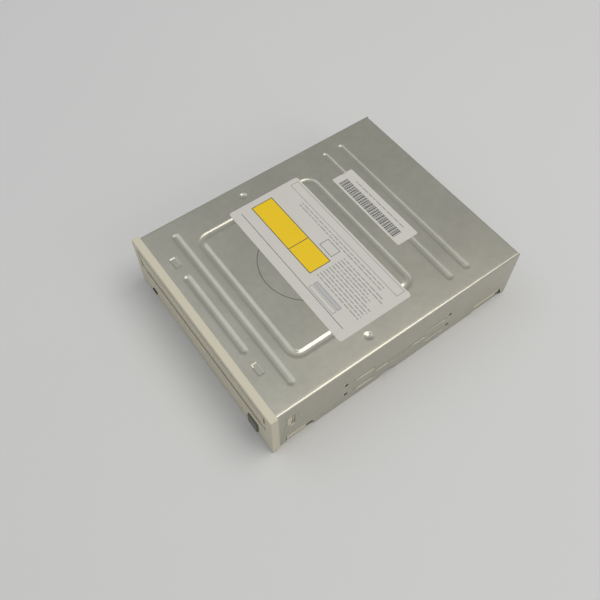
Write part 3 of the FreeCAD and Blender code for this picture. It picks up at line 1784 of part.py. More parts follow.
def pickup_body():
    """The carriage: a block with a thinner wing over each rod, the nut's arm and a bay behind."""
    shoulder = s.pickup_half_width - s.clamp_width
    height = (s.pickup_low, s.pickup_top)
    middle = block(both(shoulder), pickup_y, height)
    wing_y = (pickup_y[0] + s.wing_step, pickup_y[1] - s.clamp_length)
    wings = block(both(s.pickup_half_width), wing_y, wider(height, -s.wing_step))
    nut_y = (wing_y[0], wing_y[0] + s.clamp_length)
    nut_x = (s.pickup_half_width - s.sunk, s.screw_line + s.lead_screw_radius * 2)
    nut = block(nut_x, nut_y, around(s.screw_line_height, s.nut_half_height))
    bores = [rod("Y", line, s.rod_radius + s.running_gap, through(pickup_y)) for line in rod_lines]
    thread = rod("Y", screw_line, s.lead_screw_radius + s.running_gap, through(nut_y))
    inside = wider(height, -s.pickup_wall)
    light_path = flatted("Z", lens, s.lens_radius, (inside[0], height[1] + s.past))
    bay_y = (pickup_y[1] - s.clamp_length, pickup_y[1] + s.past)
    bay = block(both(shoulder - s.pickup_wall), bay_y, inside)
    return less(joined(middle, wings, nut), *bores, thread, light_path, bay)


node("pickup_body", pickup_body())


def actuator_base():
    start = back(s.actuator_front)
    span = (start, start + s.actuator_length)
    floor = s.pickup_top + s.actuator_base_thick
    plate = block(both(s.actuator_half_width), span, (s.pickup_top, floor))
    yoke_z = (floor - s.sunk, floor + s.yoke_height)
    front_yoke = block(both(s.holder_half_width), (span[0], span[0] + s.yoke_thick), yoke_z)
    rear_yoke = block(both(s.holder_half_width), (span[1] - s.yoke_thick, span[1]), yoke_z)
    hole = flatted("Z", lens, s.lens_radius, through((s.pickup_top, floor)))
    return less(joined(plate, front_yoke, rear_yoke), hole)


node("actuator_base", actuator_base())


def lens_holder():
    x = both(s.holder_half_width)
    y = around(lens[1], s.holder_half_length)
    wall = s.holder_wall
    solid = block(x, y, (s.holder_low, s.holder_top))
    hollow = block(wider(x, -wall), wider(y, -wall), (s.holder_low - s.past, s.holder_top - wall))
    return less(solid, hollow, rod("Z", lens, s.lens_radius, (s.holder_low, s.holder_top + s.past)))


def objective_lens():
    """A lens with a flat rim and a domed top."""
    rim = (s.holder_top - s.holder_wall, s.holder_top + s.lens_rim_rise)
    rise = s.lens_top - rim[1]
    half_chord = s.lens_radius - s.lens_rim_width
    sphere = (half_chord * half_chord + rise * rise) / (2 * rise)
    dome = within(
        ball((*lens, s.lens_top - sphere), sphere),
        rod("Z", lens, half_chord, (rim[0], s.lens_top + s.past)),
    )
    return joined(rod("Z", lens, s.lens_radius, rim), dome)


node("lens_holder", lens_holder())
node("objective_lens", objective_lens())


# Clamp: a folded steel bridge over the tray, and the clamper that hangs in its hole

bridge_top = s.bridge_low + s.bridge_gauge
cap_low = bridge_top + s.clamper_float


def clamper_bridge():
    body = new_body("BridgeSheet")
    span = (back(s.bridge_front), back(s.bridge_rear))
    holes = [flats(sign * s.bridge_screw_offset, disc_y, screw_bore) for sign in (-1, 1)]
    outline = oblong(both(s.bridge_half_length), span)
    pad(body, "XY", (s.bridge_low, bridge_top), outline, circle(0, disc_y, s.bridge_hole_radius), *holes)
    fold_x = both(s.ledge_half_length - s.clamp_width)
    front_fold = oblong(fold_x, (span[0], span[0] + s.bridge_gauge))
    rear_fold = oblong(fold_x, (span[1] - s.bridge_gauge, span[1]))
    pad(body, "XY", (s.bridge_low, s.bridge_low + s.bridge_fold), front_fold, rear_fold)
    return body


node("clamper_bridge", clamper_bridge())
node("bridge_screws", group(*[
    joined(
        flatted("Z", (x, disc_y), s.bridge_head_radius, (bridge_top, bridge_top + s.screw_head_height)),
        flatted("Z", (x, disc_y), s.screw_shank_radius, (s.ledge_low + s.fit_gap, bridge_top + s.sunk)),
    )
    for x in (-s.bridge_screw_offset, s.bridge_screw_offset)
]))


def clamper_disc():
    flange = rod("Z", spindle, s.clamper_radius, (s.clamper_low, s.clamper_flange_low))
    neck = rod("Z", spindle, s.clamper_neck_radius, (s.clamper_low, cap_low))
    recess = rod("Z", spindle, s.clamper_recess_radius, (s.clamper_low - s.past, s.clamper_recess_top))
    seat = rod("Z", spindle, s.clamper_recess_radius, (magnet_low, cap_low + s.past))
    return less(joined(flange, neck), recess, seat)


magnet_low = s.clamper_recess_top + s.fit_gap * 2
node("clamper_disc", clamper_disc())
node("clamp_magnet", rod("Z", spindle, s.clamper_recess_radius - s.fit_gap, (magnet_low, cap_low)))
cap_top = cap_low + s.clamper_cap_thick
node("clamper_cap", joined(
    rod("Z", spindle, s.clamper_cap_radius, (cap_low, cap_top)),
    cone("Z", spindle, (s.cap_boss_radius, s.cap_boss_radius / 2), (cap_top, cap_top + s.cap_boss_height)),
))


# Boards with their parts, screws and switches

main_board_y = (back(s.main_board_front), back(s.main_board_rear))
front_board_y = (back(s.front_board_front), back(s.front_board_rear))
rear_posts = [centre for centre in screw_places if centre[1].value > 0]
front_posts = [centre for centre in screw_places if centre[1].value < 0]


def board(name, y, low, thick, posts, screws):
    body = new_body(name)
    half = s.post_half + s.chassis_gap
    holes = [oblong(around(x, half), around(place_y, half)) for x, place_y in posts]
    holes += [flats(x, place_y, screw_bore) for x, place_y in screws]
    pad(body, "XY", (low, low + thick), oblong(both(s.board_half_width), y), *holes)
    return body


node("main_board", board(
    "MainBoardSheet", main_board_y, s.main_board_low, s.board_thick, rear_posts, board_posts,
))
node("front_board", board(
    "FrontBoardSheet", front_board_y, s.front_board_low, s.front_board_thick, front_posts, front_board_posts,
))


def board_screw(centre, low, thick):
    return joined(
        flatted("Z", centre, s.screw_head_radius, (low - s.screw_head_height, low)),
        flatted("Z", centre, s.screw_shank_radius, (low - s.sunk, low + thick + s.board_screw_reach)),
    )


node("board_screws", group(
    *[board_screw(centre, s.main_board_low, s.board_thick) for centre in board_posts],
    *[board_screw(centre, s.front_board_low, s.front_board_thick) for centre in front_board_posts],
))


def chip(x, half_width, half_length):
    y = around(back(s.chip_place), half_length)
    return block(around(x, half_width), y, (board_top, board_top + s.chip_height))


node("board_chips", group(
    chip(-s.chip_offset, s.large_chip_half, s.large_chip_half),
    chip(s.chip_offset / 2, s.middle_chip_half, s.middle_chip_half),
    chip(s.chip_offset + s.large_chip_half, s.small_chip_half, s.middle_chip_half),
))
capacitor_z = (board_top, board_top + s.capacitor_height)
node("capacitors", group(*[
    flatted("Z", (sign * s.capacitor_offset, back(depth)), s.capacitor_radius, capacitor_z)
    for sign in (-1, 1)
    for depth in (s.capacitor_place, s.capacitor_place + s.capacitor_pitch)
]))
flex_y = (main_board_y[0] + s.flex_inset, main_board_y[0] + s.flex_inset + s.flex_length)
node("flex_sockets", group(*[
    block(around(x, s.flex_width / 2), flex_y, (board_top, board_top + s.chip_height))
    for x in (-s.chip_offset, s.chip_offset)
]))

switch_z = (front_board_top, front_board_top + s.switch_height)
plunger_y = (plunger_front, switch_front + s.plunger_depth)
switch_bore_y = (switch_front - s.past, plunger_y[1] + s.button_travel + s.fit_gap)
switch_bore = flatted("Y", button_centre, s.plunger_radius + s.running_gap, switch_bore_y)
switch_x = around(s.button_place, s.switch_width / 2)
switch_y = (switch_front, switch_front + s.switch_length)
node("eject_switch", less(block(switch_x, switch_y, switch_z), switch_bore))
node("switch_plunger", flatted("Y", button_centre, s.plunger_radius, plunger_y))

lamp_front = front_board_y[0] + s.fit_gap * 2
lamp_z = window_z[0] + s.window_height / 2
lamp_y = (lamp_front + s.lamp_tip - s.sunk, lamp_front + s.lamp_length)
node("indicator_lamp", joined(
    block(around(s.window_place, s.lamp_half_width), lamp_y, (front_board_top, window_z[1])),
    flatted("Y", (s.window_place, lamp_z), s.window_height / 2, (lamp_front, lamp_front + s.lamp_tip)),
))
lever_y = (back(s.deck_front) + s.lever_inset, back(s.deck_front) + s.lever_inset + s.lever_length)
node("tray_switch", joined(
    block(
        around(s.tray_switch_place, s.switch_width / 2), wider(lever_y, s.lever_margin),
        (deck_top, deck_top + s.switch_length),
    ),
    block(
        around(s.tray_switch_place, s.lever_half_thick), lever_y,
        (deck_top + s.switch_length - s.sunk, s.tray_low - s.fit_gap * 2),
    ),
))


# Sockets at the rear: open boxes of black plastic on the board, with their pins

socket_y = (back(s.socket_front), case_rear)
pin_front = socket_y[0] + s.socket_floor
pin_rear = case_rear - s.pin_setback


def shell(x, width, height):
    wall = s.socket_wall
    outer = block(around(x, width / 2), socket_y, (board_top, board_top + height))
    inner = block(
        around(x, width / 2 - wall), (socket_y[0] + s.socket_floor, socket_y[1] + s.past),
        (board_top + wall, board_top + height - wall),
    )
    return less(outer, inner)


def square_pin(x, z):
    half = s.pin_size / 2
    return block(around(x, half), (pin_front, pin_rear), around(z, half))


def pin_holes(places):
    half = s.pin_size / 2
    return [block(around(x, half), (pin_front, socket_y[1]), around(z, half)) for x, z in places]


def pin_grid(x, height, columns, rows):
    """Places of a grid of pins about the middle of a socket."""
    pitch = s.pin_pitch
    middle = board_top + height / 2
    return [
        (x + pitch * (column - (columns - 1) / 2), middle + pitch * (row - (rows - 1) / 2))
        for row in range(rows) for column in range(columns)
    ]


bus_columns = 20
bus_places = pin_grid(s.bus_place, s.bus_height, bus_columns, 2)
del bus_places[bus_columns // 2]
audio_places = pin_grid(s.audio_place, s.audio_height, 4, 1)
jumper_places = pin_grid(s.jumper_place, s.jumper_height, 3, 2)
key_low = board_top + s.bus_height - s.socket_wall - s.sunk
key = block(
    around(s.bus_place, s.key_half_width), (case_rear - s.key_length, case_rear + s.past),
    (key_low, board_top + s.bus_height + s.past),
)
node("bus_socket", less(shell(s.bus_place, s.bus_width, s.bus_height), key))
node("bus_pins", group(*[square_pin(x, z) for x, z in bus_places]))
node("audio_socket", shell(s.audio_place, s.audio_width, s.audio_height))
node("audio_pins", group(*[square_pin(x, z) for x, z in audio_places]))


def power_socket():
    """A box with its two upper corners cut off, so that the plug goes in one way only."""
    body = new_body("PowerShell")
    low = board_top
    high = board_top + s.power_height

    def outline(inset):
        half = s.power_width / 2 - inset
        cut = s.power_corner
        return closed([
            (s.power_place - half, low + inset), (s.power_place - half, high - inset - cut),
            (s.power_place - half + cut, high - inset), (s.power_place + half - cut, high - inset),
            (s.power_place + half, high - inset - cut), (s.power_place + half, low + inset),
        ])

    pad(body, "XZ", socket_y, outline(0))
    pocket(body, "XZ", (socket_y[0] + s.socket_floor, socket_y[1]), outline(s.socket_wall))
    return body


power_pin_z = board_top + s.power_height / 2
power_places = [(s.power_place + s.power_pin_pitch * (column - 1.5), power_pin_z) for column in range(4)]
node("power_socket", power_socket())
node("power_pins", group(*[
    flatted("Y", centre, s.power_pin_radius, (pin_front, pin_rear)) for centre in power_places
]))

jumper_y = (socket_y[0] + s.socket_floor, socket_y[0] + s.socket_floor + s.jumper_block_length)
jumper_z = (board_top, board_top + s.jumper_height)
node("jumper_block", joined(
    block(around(s.jumper_place, s.jumper_width / 2), jumper_y, jumper_z),
    *[square_pin(x, z) for x, z in jumper_places],
))
cap_x = around(s.jumper_place + s.pin_pitch, s.pin_pitch / 2 - s.running_gap)
cap_y = (jumper_y[1] + s.running_gap, jumper_y[1] + s.jumper_cap_length)
node("jumper_cap", less(block(cap_x, cap_y, jumper_z), *pin_holes(jumper_places)))


# Paper labels on the top

def label(name, x, depth, width, length):
    level = (s.case_height, s.case_height + s.label_thick)
    return node(name, block(around(x, width / 2), around(back(depth), length / 2), level))


label("rating_label", s.label_offset, s.label_place, s.label_width, s.label_length)
label("serial_sticker", s.sticker_offset, s.sticker_place, s.sticker_width, s.sticker_length)


def finish():
    """Recompute, check every object and write one file for each sub-part."""
    doc.recompute()
    for made in doc.Objects:
        if {"Invalid", "Error"} & set(made.State):
            raise RuntimeError(f"{made.Label} failed: {made.State}")
        if made.TypeId == "PartDesign::Pocket":
            removed = made.BaseFeature.Shape.Volume - made.Shape.Volume
            if removed < 0.001:
                raise RuntimeError(f"{made.Label} of {made.getParent().Label} cuts nothing")
    os.makedirs("parts", exist_ok=True)
    for made in NODES:
        if made.Shape.isNull() or not made.Shape.isValid():
            raise RuntimeError(f"{made.Label} has no valid shape")
        made.Shape.exportStep(f"parts/{made.Label}.step")


finish()
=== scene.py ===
# Half-height disc drive for a computer bay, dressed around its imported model. X runs to the right
# seen from the front, Y from the front to the rear, and Z up. Sizes on the drive are in
# millimetres, and those of the studio in metres.

import json
import math
import random

import bmesh
import bpy
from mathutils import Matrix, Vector

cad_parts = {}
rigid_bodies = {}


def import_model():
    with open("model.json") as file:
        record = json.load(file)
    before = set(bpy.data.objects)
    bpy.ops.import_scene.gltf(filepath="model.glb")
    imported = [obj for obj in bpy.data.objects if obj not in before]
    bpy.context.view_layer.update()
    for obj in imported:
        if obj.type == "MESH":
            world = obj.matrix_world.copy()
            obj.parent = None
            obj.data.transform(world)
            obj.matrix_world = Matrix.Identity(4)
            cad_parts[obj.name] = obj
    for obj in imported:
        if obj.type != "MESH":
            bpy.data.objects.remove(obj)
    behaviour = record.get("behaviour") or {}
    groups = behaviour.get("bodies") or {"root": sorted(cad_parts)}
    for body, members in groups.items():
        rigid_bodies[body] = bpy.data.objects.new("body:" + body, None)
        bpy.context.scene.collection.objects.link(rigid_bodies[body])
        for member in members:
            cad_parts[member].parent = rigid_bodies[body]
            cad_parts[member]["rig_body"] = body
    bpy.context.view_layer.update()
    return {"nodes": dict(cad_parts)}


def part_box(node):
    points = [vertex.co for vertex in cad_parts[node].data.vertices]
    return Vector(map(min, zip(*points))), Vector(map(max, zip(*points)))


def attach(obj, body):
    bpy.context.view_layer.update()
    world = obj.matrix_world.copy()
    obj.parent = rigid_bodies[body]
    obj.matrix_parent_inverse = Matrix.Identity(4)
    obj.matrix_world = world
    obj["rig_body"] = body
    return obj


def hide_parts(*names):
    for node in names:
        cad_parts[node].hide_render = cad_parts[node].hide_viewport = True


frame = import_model()


# The camera stands high beyond the drive's right front corner, without roll, and looks steeply
# down on it through a lens a little wider than normal.

MM = 0.001
scene = bpy.context.scene
scene.view_settings.view_transform = "Standard"

camera_place = Vector((190.64, -157.81, 374.51)) * MM
camera_aim = Vector((-0.42999, 0.31476, -0.84619))
camera_lens = 41.07

camera = bpy.data.objects.new("camera", bpy.data.cameras.new("camera"))
camera.data.lens = camera_lens
camera.data.sensor_width = 36.0
camera.data.clip_start = 0.01
camera.location = camera_place
camera.rotation_euler = camera_aim.to_track_quat("-Z", "Y").to_euler()
scene.collection.objects.link(camera)
scene.camera = camera


# The studio is a pale painted table under a dim even sky. A soft lamp hangs high behind the
# drive, a weak cool one high at its left front, and a small one low beyond its right end.

cloud_detail = 4.0
cloud_range = (0.3, 0.7)
gloss_swing = 2
grain_detail = 2.0


def wired(tree, kind, inputs=None, **settings):
    """A new node with these settings. Each input is given a value, or the output that feeds it."""
    made = tree.nodes.new(kind)
    for name, value in settings.items():
        setattr(made, name, value)
    for label, value in (inputs or {}).items():
        if isinstance(value, bpy.types.NodeSocket):
            tree.links.new(value, made.inputs[label])
        else:
            made.inputs[label].default_value = value
    return made


def finish(name, colour, roughness, metal=0.0, mottle=0.06, patch=12.0, grain=0.04, grain_size=0.4, coat=0.0):
    """A finish that varies a little in colour and gloss over its patches, with a fine grain."""
    material = bpy.data.materials.new(name)
    material.use_nodes = True
    tree = material.node_tree
    shader = tree.nodes["Principled BSDF"]
    shader.inputs["Metallic"].default_value = metal
    shader.inputs["Coat Weight"].default_value = coat
    place = wired(tree, "ShaderNodeTexCoord").outputs["Object"]
    cloud = wired(tree, "ShaderNodeTexNoise", {
        "Vector": place, "Scale": 1 / (patch * MM), "Detail": cloud_detail}).outputs["Fac"]
    tint = wired(tree, "ShaderNodeValToRGB", {"Fac": cloud}, name="tint")
    shades = (1 - mottle, 1 + mottle)
    for stop, position, shade in zip(tint.color_ramp.elements, cloud_range, shades):
        stop.position = position
        stop.color = (*[min(1, channel * shade) for channel in colour], 1)
    gloss = wired(tree, "ShaderNodeMapRange", {
        "Value": cloud, "To Min": roughness * (1 - gloss_swing * mottle),
        "To Max": min(1, roughness * (1 + gloss_swing * mottle))})
    speckle = wired(tree, "ShaderNodeTexNoise", {
        "Vector": place, "Scale": 1 / (grain_size * MM), "Detail": grain_detail})
    bump = wired(tree, "ShaderNodeBump", {
        "Height": speckle.outputs["Fac"], "Strength": grain, "Distance": grain_size * MM})
    tree.links.new(tint.outputs["Color"], shader.inputs["Base Color"])
    tree.links.new(gloss.outputs["Result"], shader.inputs["Roughness"])
    tree.links.new(bump.outputs["Normal"], shader.inputs["Normal"])
    return material


sharp_angle = 35.0


def shown(name, work, materials, smooth=sharp_angle):
    """An object made from a bmesh, shaded smooth except at its sharp edges."""
    mesh = bpy.data.meshes.new(name)
    work.to_mesh(mesh)
    work.free()
    for material in materials:
        mesh.materials.append(material)
    mesh.shade_smooth()
    mesh.set_sharp_from_angle(angle=math.radians(smooth))
    piece = bpy.data.objects.new(name, mesh)
    scene.collection.objects.link(piece)
    return piece


def lamp(name, towards, distance, size, power, tone):
    """A round soft lamp that hangs this far off towards a side and faces the drive."""
    light = bpy.data.lights.new(name, "AREA")
    light.shape = "DISK"
    light.size = size
    light.energy = power
    light.color = tone
    holder = bpy.data.objects.new(name, light)
    direction = Vector(towards).normalized()
    holder.location = direction * distance
    holder.rotation_euler = (-direction).to_track_quat("-Z", "Y").to_euler()
    scene.collection.objects.link(holder)


table_size = 3.0
table_gap = 0.0002
table_paint = finish("table_paint", colour=(0.70, 0.695, 0.685), roughness=0.8, mottle=0.01, patch=300)
sky_tone = (0.95, 0.97, 1.0, 1)
sky_strength = 0.42

table_work = bmesh.new()
bmesh.ops.create_grid(table_work, x_segments=1, y_segments=1, size=table_size)
bmesh.ops.translate(table_work, verts=table_work.verts, vec=(0, 0, -table_gap))
shown("table", table_work, [table_paint])

world = bpy.data.worlds.new("studio")
world.use_nodes = True
world.node_tree.nodes["Background"].inputs["Color"].default_value = sky_tone
world.node_tree.nodes["Background"].inputs["Strength"].default_value = sky_strength
scene.world = world

lamp("key_lamp", (0.18, 0.30, 0.93), distance=1.5, size=1.0, power=8.0, tone=(1.0, 0.98, 0.93))
lamp("cool_lamp", (-0.42, -0.28, 0.86), distance=1.6, size=1.3, power=3.0, tone=(0.88, 0.95, 1.0))
lamp("end_lamp", (0.80, 0.25, 0.55), distance=1.5, size=0.7, power=2.0, tone=(1.0, 0.97, 0.92))


# Chassis: one large ivory moulding of glass-filled plastic that carries the mechanism, with rails
# for the tray and hooks that show in the covers' windows. Its edges are barely rounded.

weld_gap = 0.001
flat_angle = 0.5
edge_angle = 40.0


def settled(piece, smooth=sharp_angle):
    """The piece with its modifiers worked into its mesh. With smooth 0 its shading stays as they made it."""
    evaluated = piece.evaluated_get(bpy.context.evaluated_depsgraph_get())
    mesh = bpy.data.meshes.new_from_object(evaluated)
    piece.modifiers.clear()
    piece.data = mesh
    if smooth:
        mesh.shade_smooth()
        mesh.set_sharp_from_angle(angle=math.radians(smooth))
    return piece


def stands_for(piece, node):
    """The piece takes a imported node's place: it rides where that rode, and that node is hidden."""
    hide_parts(node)
    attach(piece, frame["nodes"][node]["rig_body"])


def merged(node):
    """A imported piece's shape with its loose triangles joined into whole faces."""
    work = bmesh.new()
    work.from_mesh(frame["nodes"][node].data)
    bmesh.ops.remove_doubles(work, verts=work.verts, dist=weld_gap * MM)
    bmesh.ops.dissolve_limit(work, angle_limit=math.radians(flat_angle), verts=work.verts, edges=work.edges)
    return work


def rounded(piece, edge, segments=2, angle=edge_angle, flat=True):
    """The piece with its edges rounded off this wide. With flat its flat faces are shaded flat as well."""
    bevel = piece.modifiers.new("Edges", "BEVEL")
    bevel.width = edge * MM
    bevel.segments = segments
    bevel.limit_method = "ANGLE"
    bevel.angle_limit = math.radians(angle)
    bevel.harden_normals = flat
    return settled(piece, 0 if flat else sharp_angle)


def softened(node, material, edge, segments=2, angle=edge_angle):
    """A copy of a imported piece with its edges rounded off, to stand in its place."""
    piece = shown(node + "_shown", merged(node), [material])
    stands_for(rounded(piece, edge, segments, angle), node)


ivory = finish("ivory_moulding", colour=(0.66, 0.61, 0.46), roughness=0.45, mottle=0.03, patch=20,
               grain=0.08, grain_size=0.3)
softened("main_frame", ivory, edge=0.15)


# Loading drive: a can motor screwed under the deck, with a brass pulley and a rubber belt to a
# geared wheel. That wheel, the tray's gear and the cam slide beside it are natural nylon.

def solids_of(node):
    """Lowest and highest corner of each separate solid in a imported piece."""
    work = merged(node)
    seen, boxes = set(), []
    for start in work.verts:
        if start in seen:
            continue
        seen.add(start)
        group = [start]
        for corner in group:
            beyond = [edge.other_vert(corner) for edge in corner.link_edges]
            fresh = [other for other in beyond if other not in seen]
            seen.update(fresh)
            group += fresh
        boxes.append(tuple(Vector([pick(corner.co[axis] for corner in group) for axis in range(3)])
                           for pick in (min, max)))
    work.free()
    return boxes


def prism(work, corners, axis, low, high):
    """A solid with this outline, from low to high along the axis."""
    order = {"X": (2, 0, 1), "Y": (0, 2, 1), "Z": (0, 1, 2)}[axis]
    ends = []
    for level in (low, high):
        places = [(u, v, level) for u, v in corners]
        ends.append([work.verts.new(Vector([place[index] for index in order]) * MM) for place in places])
    faces = [work.faces.new(ends[0]), work.faces.new(ends[1])]
    for index in range(len(corners)):
        after = (index + 1) % len(corners)
        faces.append(work.faces.new((ends[0][index], ends[0][after], ends[1][after], ends[1][index])))
    bmesh.ops.recalc_face_normals(work, faces=faces)


def carve(piece, work):
    """The piece less a solid."""
    cutter = shown("cutter", work, [])
    cut = piece.modifiers.new("Cut", "BOOLEAN")
    cut.operation = "DIFFERENCE"
    cut.solver = "EXACT"
    cut.object = cutter
    settled(piece)
    bpy.data.objects.remove(cutter)
    return piece


def turned(work, profile, count=32):
    """A body turned about Z from pairs of radius and height, closed on the axis at both ends."""
    rings = []
    for radius, height in profile:
        angles = [2 * math.pi * step / count for step in range(count if radius else 1)]
        places = [(radius * math.cos(angle), radius * math.sin(angle), height) for angle in angles]
        rings.append([work.verts.new(Vector(place) * MM) for place in places])
    for below, above in zip(rings, rings[1:]):
        for step in range(count):
            after = (step + 1) % count
            corners = [below[step % len(below)], below[after % len(below)],
                       above[after % len(above)], above[step % len(above)]]
            work.faces.new(list(dict.fromkeys(corners)))
    bmesh.ops.recalc_face_normals(work, faces=work.faces)


def geometry_tree(name, wanted):
    """An empty geometry tree that gives a mesh, and the sockets with what it is given."""
    tree = bpy.data.node_groups.new(name, "GeometryNodeTree")
    for label, kind in wanted:
        tree.interface.new_socket(label, in_out="INPUT", socket_type="NodeSocket" + kind)
    tree.interface.new_socket("Mesh", in_out="OUTPUT", socket_type="NodeSocketGeometry")
    return tree, wired(tree, "NodeGroupInput").outputs


def of_kind(sockets, kind, name=None):
    """The first of these sockets that is of the kind, and of the name where one is given."""
    return next(each for each in sockets if each.type == kind and name in (None, each.name))


def ended(tree, place, material):
    """Ends a tree: what it has set in place is made real, in one material."""
    realize = wired(tree, "GeometryNodeRealizeInstances", {"Geometry": place.outputs["Instances"]})
    paint = wired(tree, "GeometryNodeSetMaterial", {
        "Geometry": realize.outputs["Geometry"], "Material": material})
    wired(tree, "NodeGroupOutput", {"Mesh": paint.outputs["Geometry"]})
    return tree


def placing_tree():
    """Geometry nodes that set one object on every point, each turned by chance about the upright."""
    tree, given = geometry_tree("set_on_points", (
        ("Points", "Geometry"), ("Part", "Object"), ("Turn", "Float"), ("Seed", "Int"),
        ("Finish", "Material")))
    part = wired(tree, "GeometryNodeObjectInfo", {"Object": given["Part"]})
    turn = wired(tree, "FunctionNodeRandomValue", {"Seed": given["Seed"]}, data_type="FLOAT")
    tree.links.new(given["Turn"], of_kind(turn.inputs, "VALUE", "Max"))
    upright = wired(tree, "ShaderNodeCombineXYZ", {"Z": of_kind(turn.outputs, "VALUE")})
    place = wired(tree, "GeometryNodeInstanceOnPoints", {
        "Points": given["Points"], "Instance": part.outputs["Geometry"],
        "Rotation": upright.outputs["Vector"]})
    return ended(tree, place, given["Finish"])


def set_inputs(modifier, values):
    """Gives the named inputs of a geometry modifier their values."""
    for socket in modifier.node_group.interface.items_tree:
        if socket.in_out == "INPUT" and socket.name in values:
            modifier[socket.identifier] = values[socket.name]


# The screw head's outline in shares of its radius and height, from its foot to its top.
head_crown = ((1.0, 1.0), (1.0, 0.55), (0.86, 0.15), (0.6, 0.0))
tip_share = 0.8
tip_height = 0.2
recess_reach = 0.62
recess_depth = 0.7
recess_width = 0.5
cutter_over = 1.0


def screw(name, head_radius, head_height, shank_radius, length, face_up):
    """A pan-head screw about Z with its head's top at the origin and a cross recess."""
    work = bmesh.new()
    shank = [(0, -length), (shank_radius * tip_share, -length), (shank_radius, tip_height - length),
             (shank_radius, -head_height)]
    head = [(head_radius * across, -head_height * down) for across, down in head_crown]
    turned(work, shank + head + [(0, 0)])
    piece = shown(name, work, [])
    cross = bmesh.new()
    reach = head_radius * recess_reach
    half = recess_width / 2
    arms = [(-reach, -half), (-half, -half), (-half, -reach), (half, -reach), (half, -half), (reach, -half),
            (reach, half), (half, half), (half, reach), (-half, reach), (-half, half), (-reach, half)]
    prism(cross, arms, "Z", -head_height * recess_depth, cutter_over)
    carve(piece, cross)
    if not face_up:
        for corner in piece.data.vertices:
            corner.co.y *= -1
            corner.co.z *= -1
    return piece


def screws(node, head_height, shank_share, face_up, seed):
    """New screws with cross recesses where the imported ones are, heads in the same places."""
    boxes = solids_of(node)
    size = min(((high - low) / MM for low, high in boxes), key=lambda sides: sides.z)
    part = screw(node + "_pattern", size.x / 2, head_height, size.x / 2 * shank_share, size.z, face_up)
    work = bmesh.new()
    for low, high in boxes:
        middle = (low + high) / 2
        work.verts.new((middle.x, middle.y, high.z if face_up else low.z))
    piece = shown(node + "_shown", work, [])
    spread = piece.modifiers.new("Spread", "NODES")
    spread.node_group = set_on_points
    set_inputs(spread, {"Part": part, "Turn": math.pi, "Seed": seed, "Finish": zinc})
    settled(piece)
    bpy.data.objects.remove(part)
    stands_for(piece, node)


set_on_points = placing_tree()
zinc = finish("zinc_plate", colour=(0.62, 0.62, 0.58), roughness=0.30, metal=1.0, mottle=0.05, patch=2,
              grain_size=0.2)
motor_steel = finish("motor_steel", colour=(0.52, 0.52, 0.51), roughness=0.34, metal=1.0, mottle=0.05,
                     patch=6)
brass = finish("brass", colour=(0.72, 0.52, 0.24), roughness=0.30, metal=1.0, mottle=0.05, patch=3,
               grain=0.02)
ground_steel = finish("ground_steel", colour=(0.70, 0.70, 0.69), roughness=0.18, metal=1.0, mottle=0.03,
                      patch=8, grain=0.01)
nylon = finish("natural_nylon", colour=(0.74, 0.73, 0.68), roughness=0.40, mottle=0.03, patch=8,
               grain=0.05, grain_size=0.2)
rubber = finish("black_rubber", colour=(0.028, 0.028, 0.028), roughness=0.75, mottle=0.12, patch=3,
                grain=0.12, grain_size=0.15)
softened("loading_motor", motor_steel, edge=0.5, segments=3)
screws("motor_screws", head_height=0.9, shank_share=0.48, face_up=True, seed=11)
softened("motor_pulley", brass, edge=0.12)
softened("motor_shaft", ground_steel, edge=0.1)
softened("drive_belt", rubber, edge=0.2)
softened("belt_wheel", nylon, edge=0.1, angle=50)
softened("tray_gear", nylon, edge=0.1, angle=50)
softened("cam_slider", nylon, edge=0.15)


# Lift frame: a black moulding on two rear pivots that raises the traverse plate to the disc. The
# pressed plate stands on four rubber dampers, each held by a stepped screw.

black_moulding = finish("black_moulding", colour=(0.022, 0.022, 0.024), roughness=0.45, mottle=0.1,
                        grain=0.12, grain_size=0.3)
plated_steel = finish("plated_steel", colour=(0.62, 0.62, 0.59), roughness=0.34, metal=0.95, mottle=0.04,
                      patch=14, grain=0.03)
softened("lift_frame", black_moulding, edge=0.15)
softened("traverse_plate", plated_steel, edge=0.12)
softened("dampers", rubber, edge=0.25)
screws("step_screws", head_height=0.9, shank_share=0.5, face_up=True, seed=13)


# Spindle: a flat motor on the plate whose rotor is the turntable. It is plated steel with a
# rubber ring on top, and a white sprung hub centres the disc.

hub_plastic = finish("hub_plastic", colour=(0.66, 0.65, 0.60), roughness=0.40, mottle=0.03, patch=5,
                     grain=0.04, grain_size=0.2)
softened("spindle_motor", plated_steel, edge=0.12)
softened("turntable", plated_steel, edge=0.15)
softened("turntable_pad", rubber, edge=0.12)
softened("hub", hub_plastic, edge=0.2)


# Pickup: a die-cast carriage on two ground steel rods, driven along them by a threaded screw from
# its own motor. The lens of coated plastic sits in a black holder hung between two steel yokes.

thread_pitch = 3.0
thread_root = 1.2
thread_crest = 1.5
thread_flat = 1.6
thread_sides = 20
thread_ends = (-0.9, 44.2)
screw_axis = (35.0, 15.6)
journal_radius = 0.75


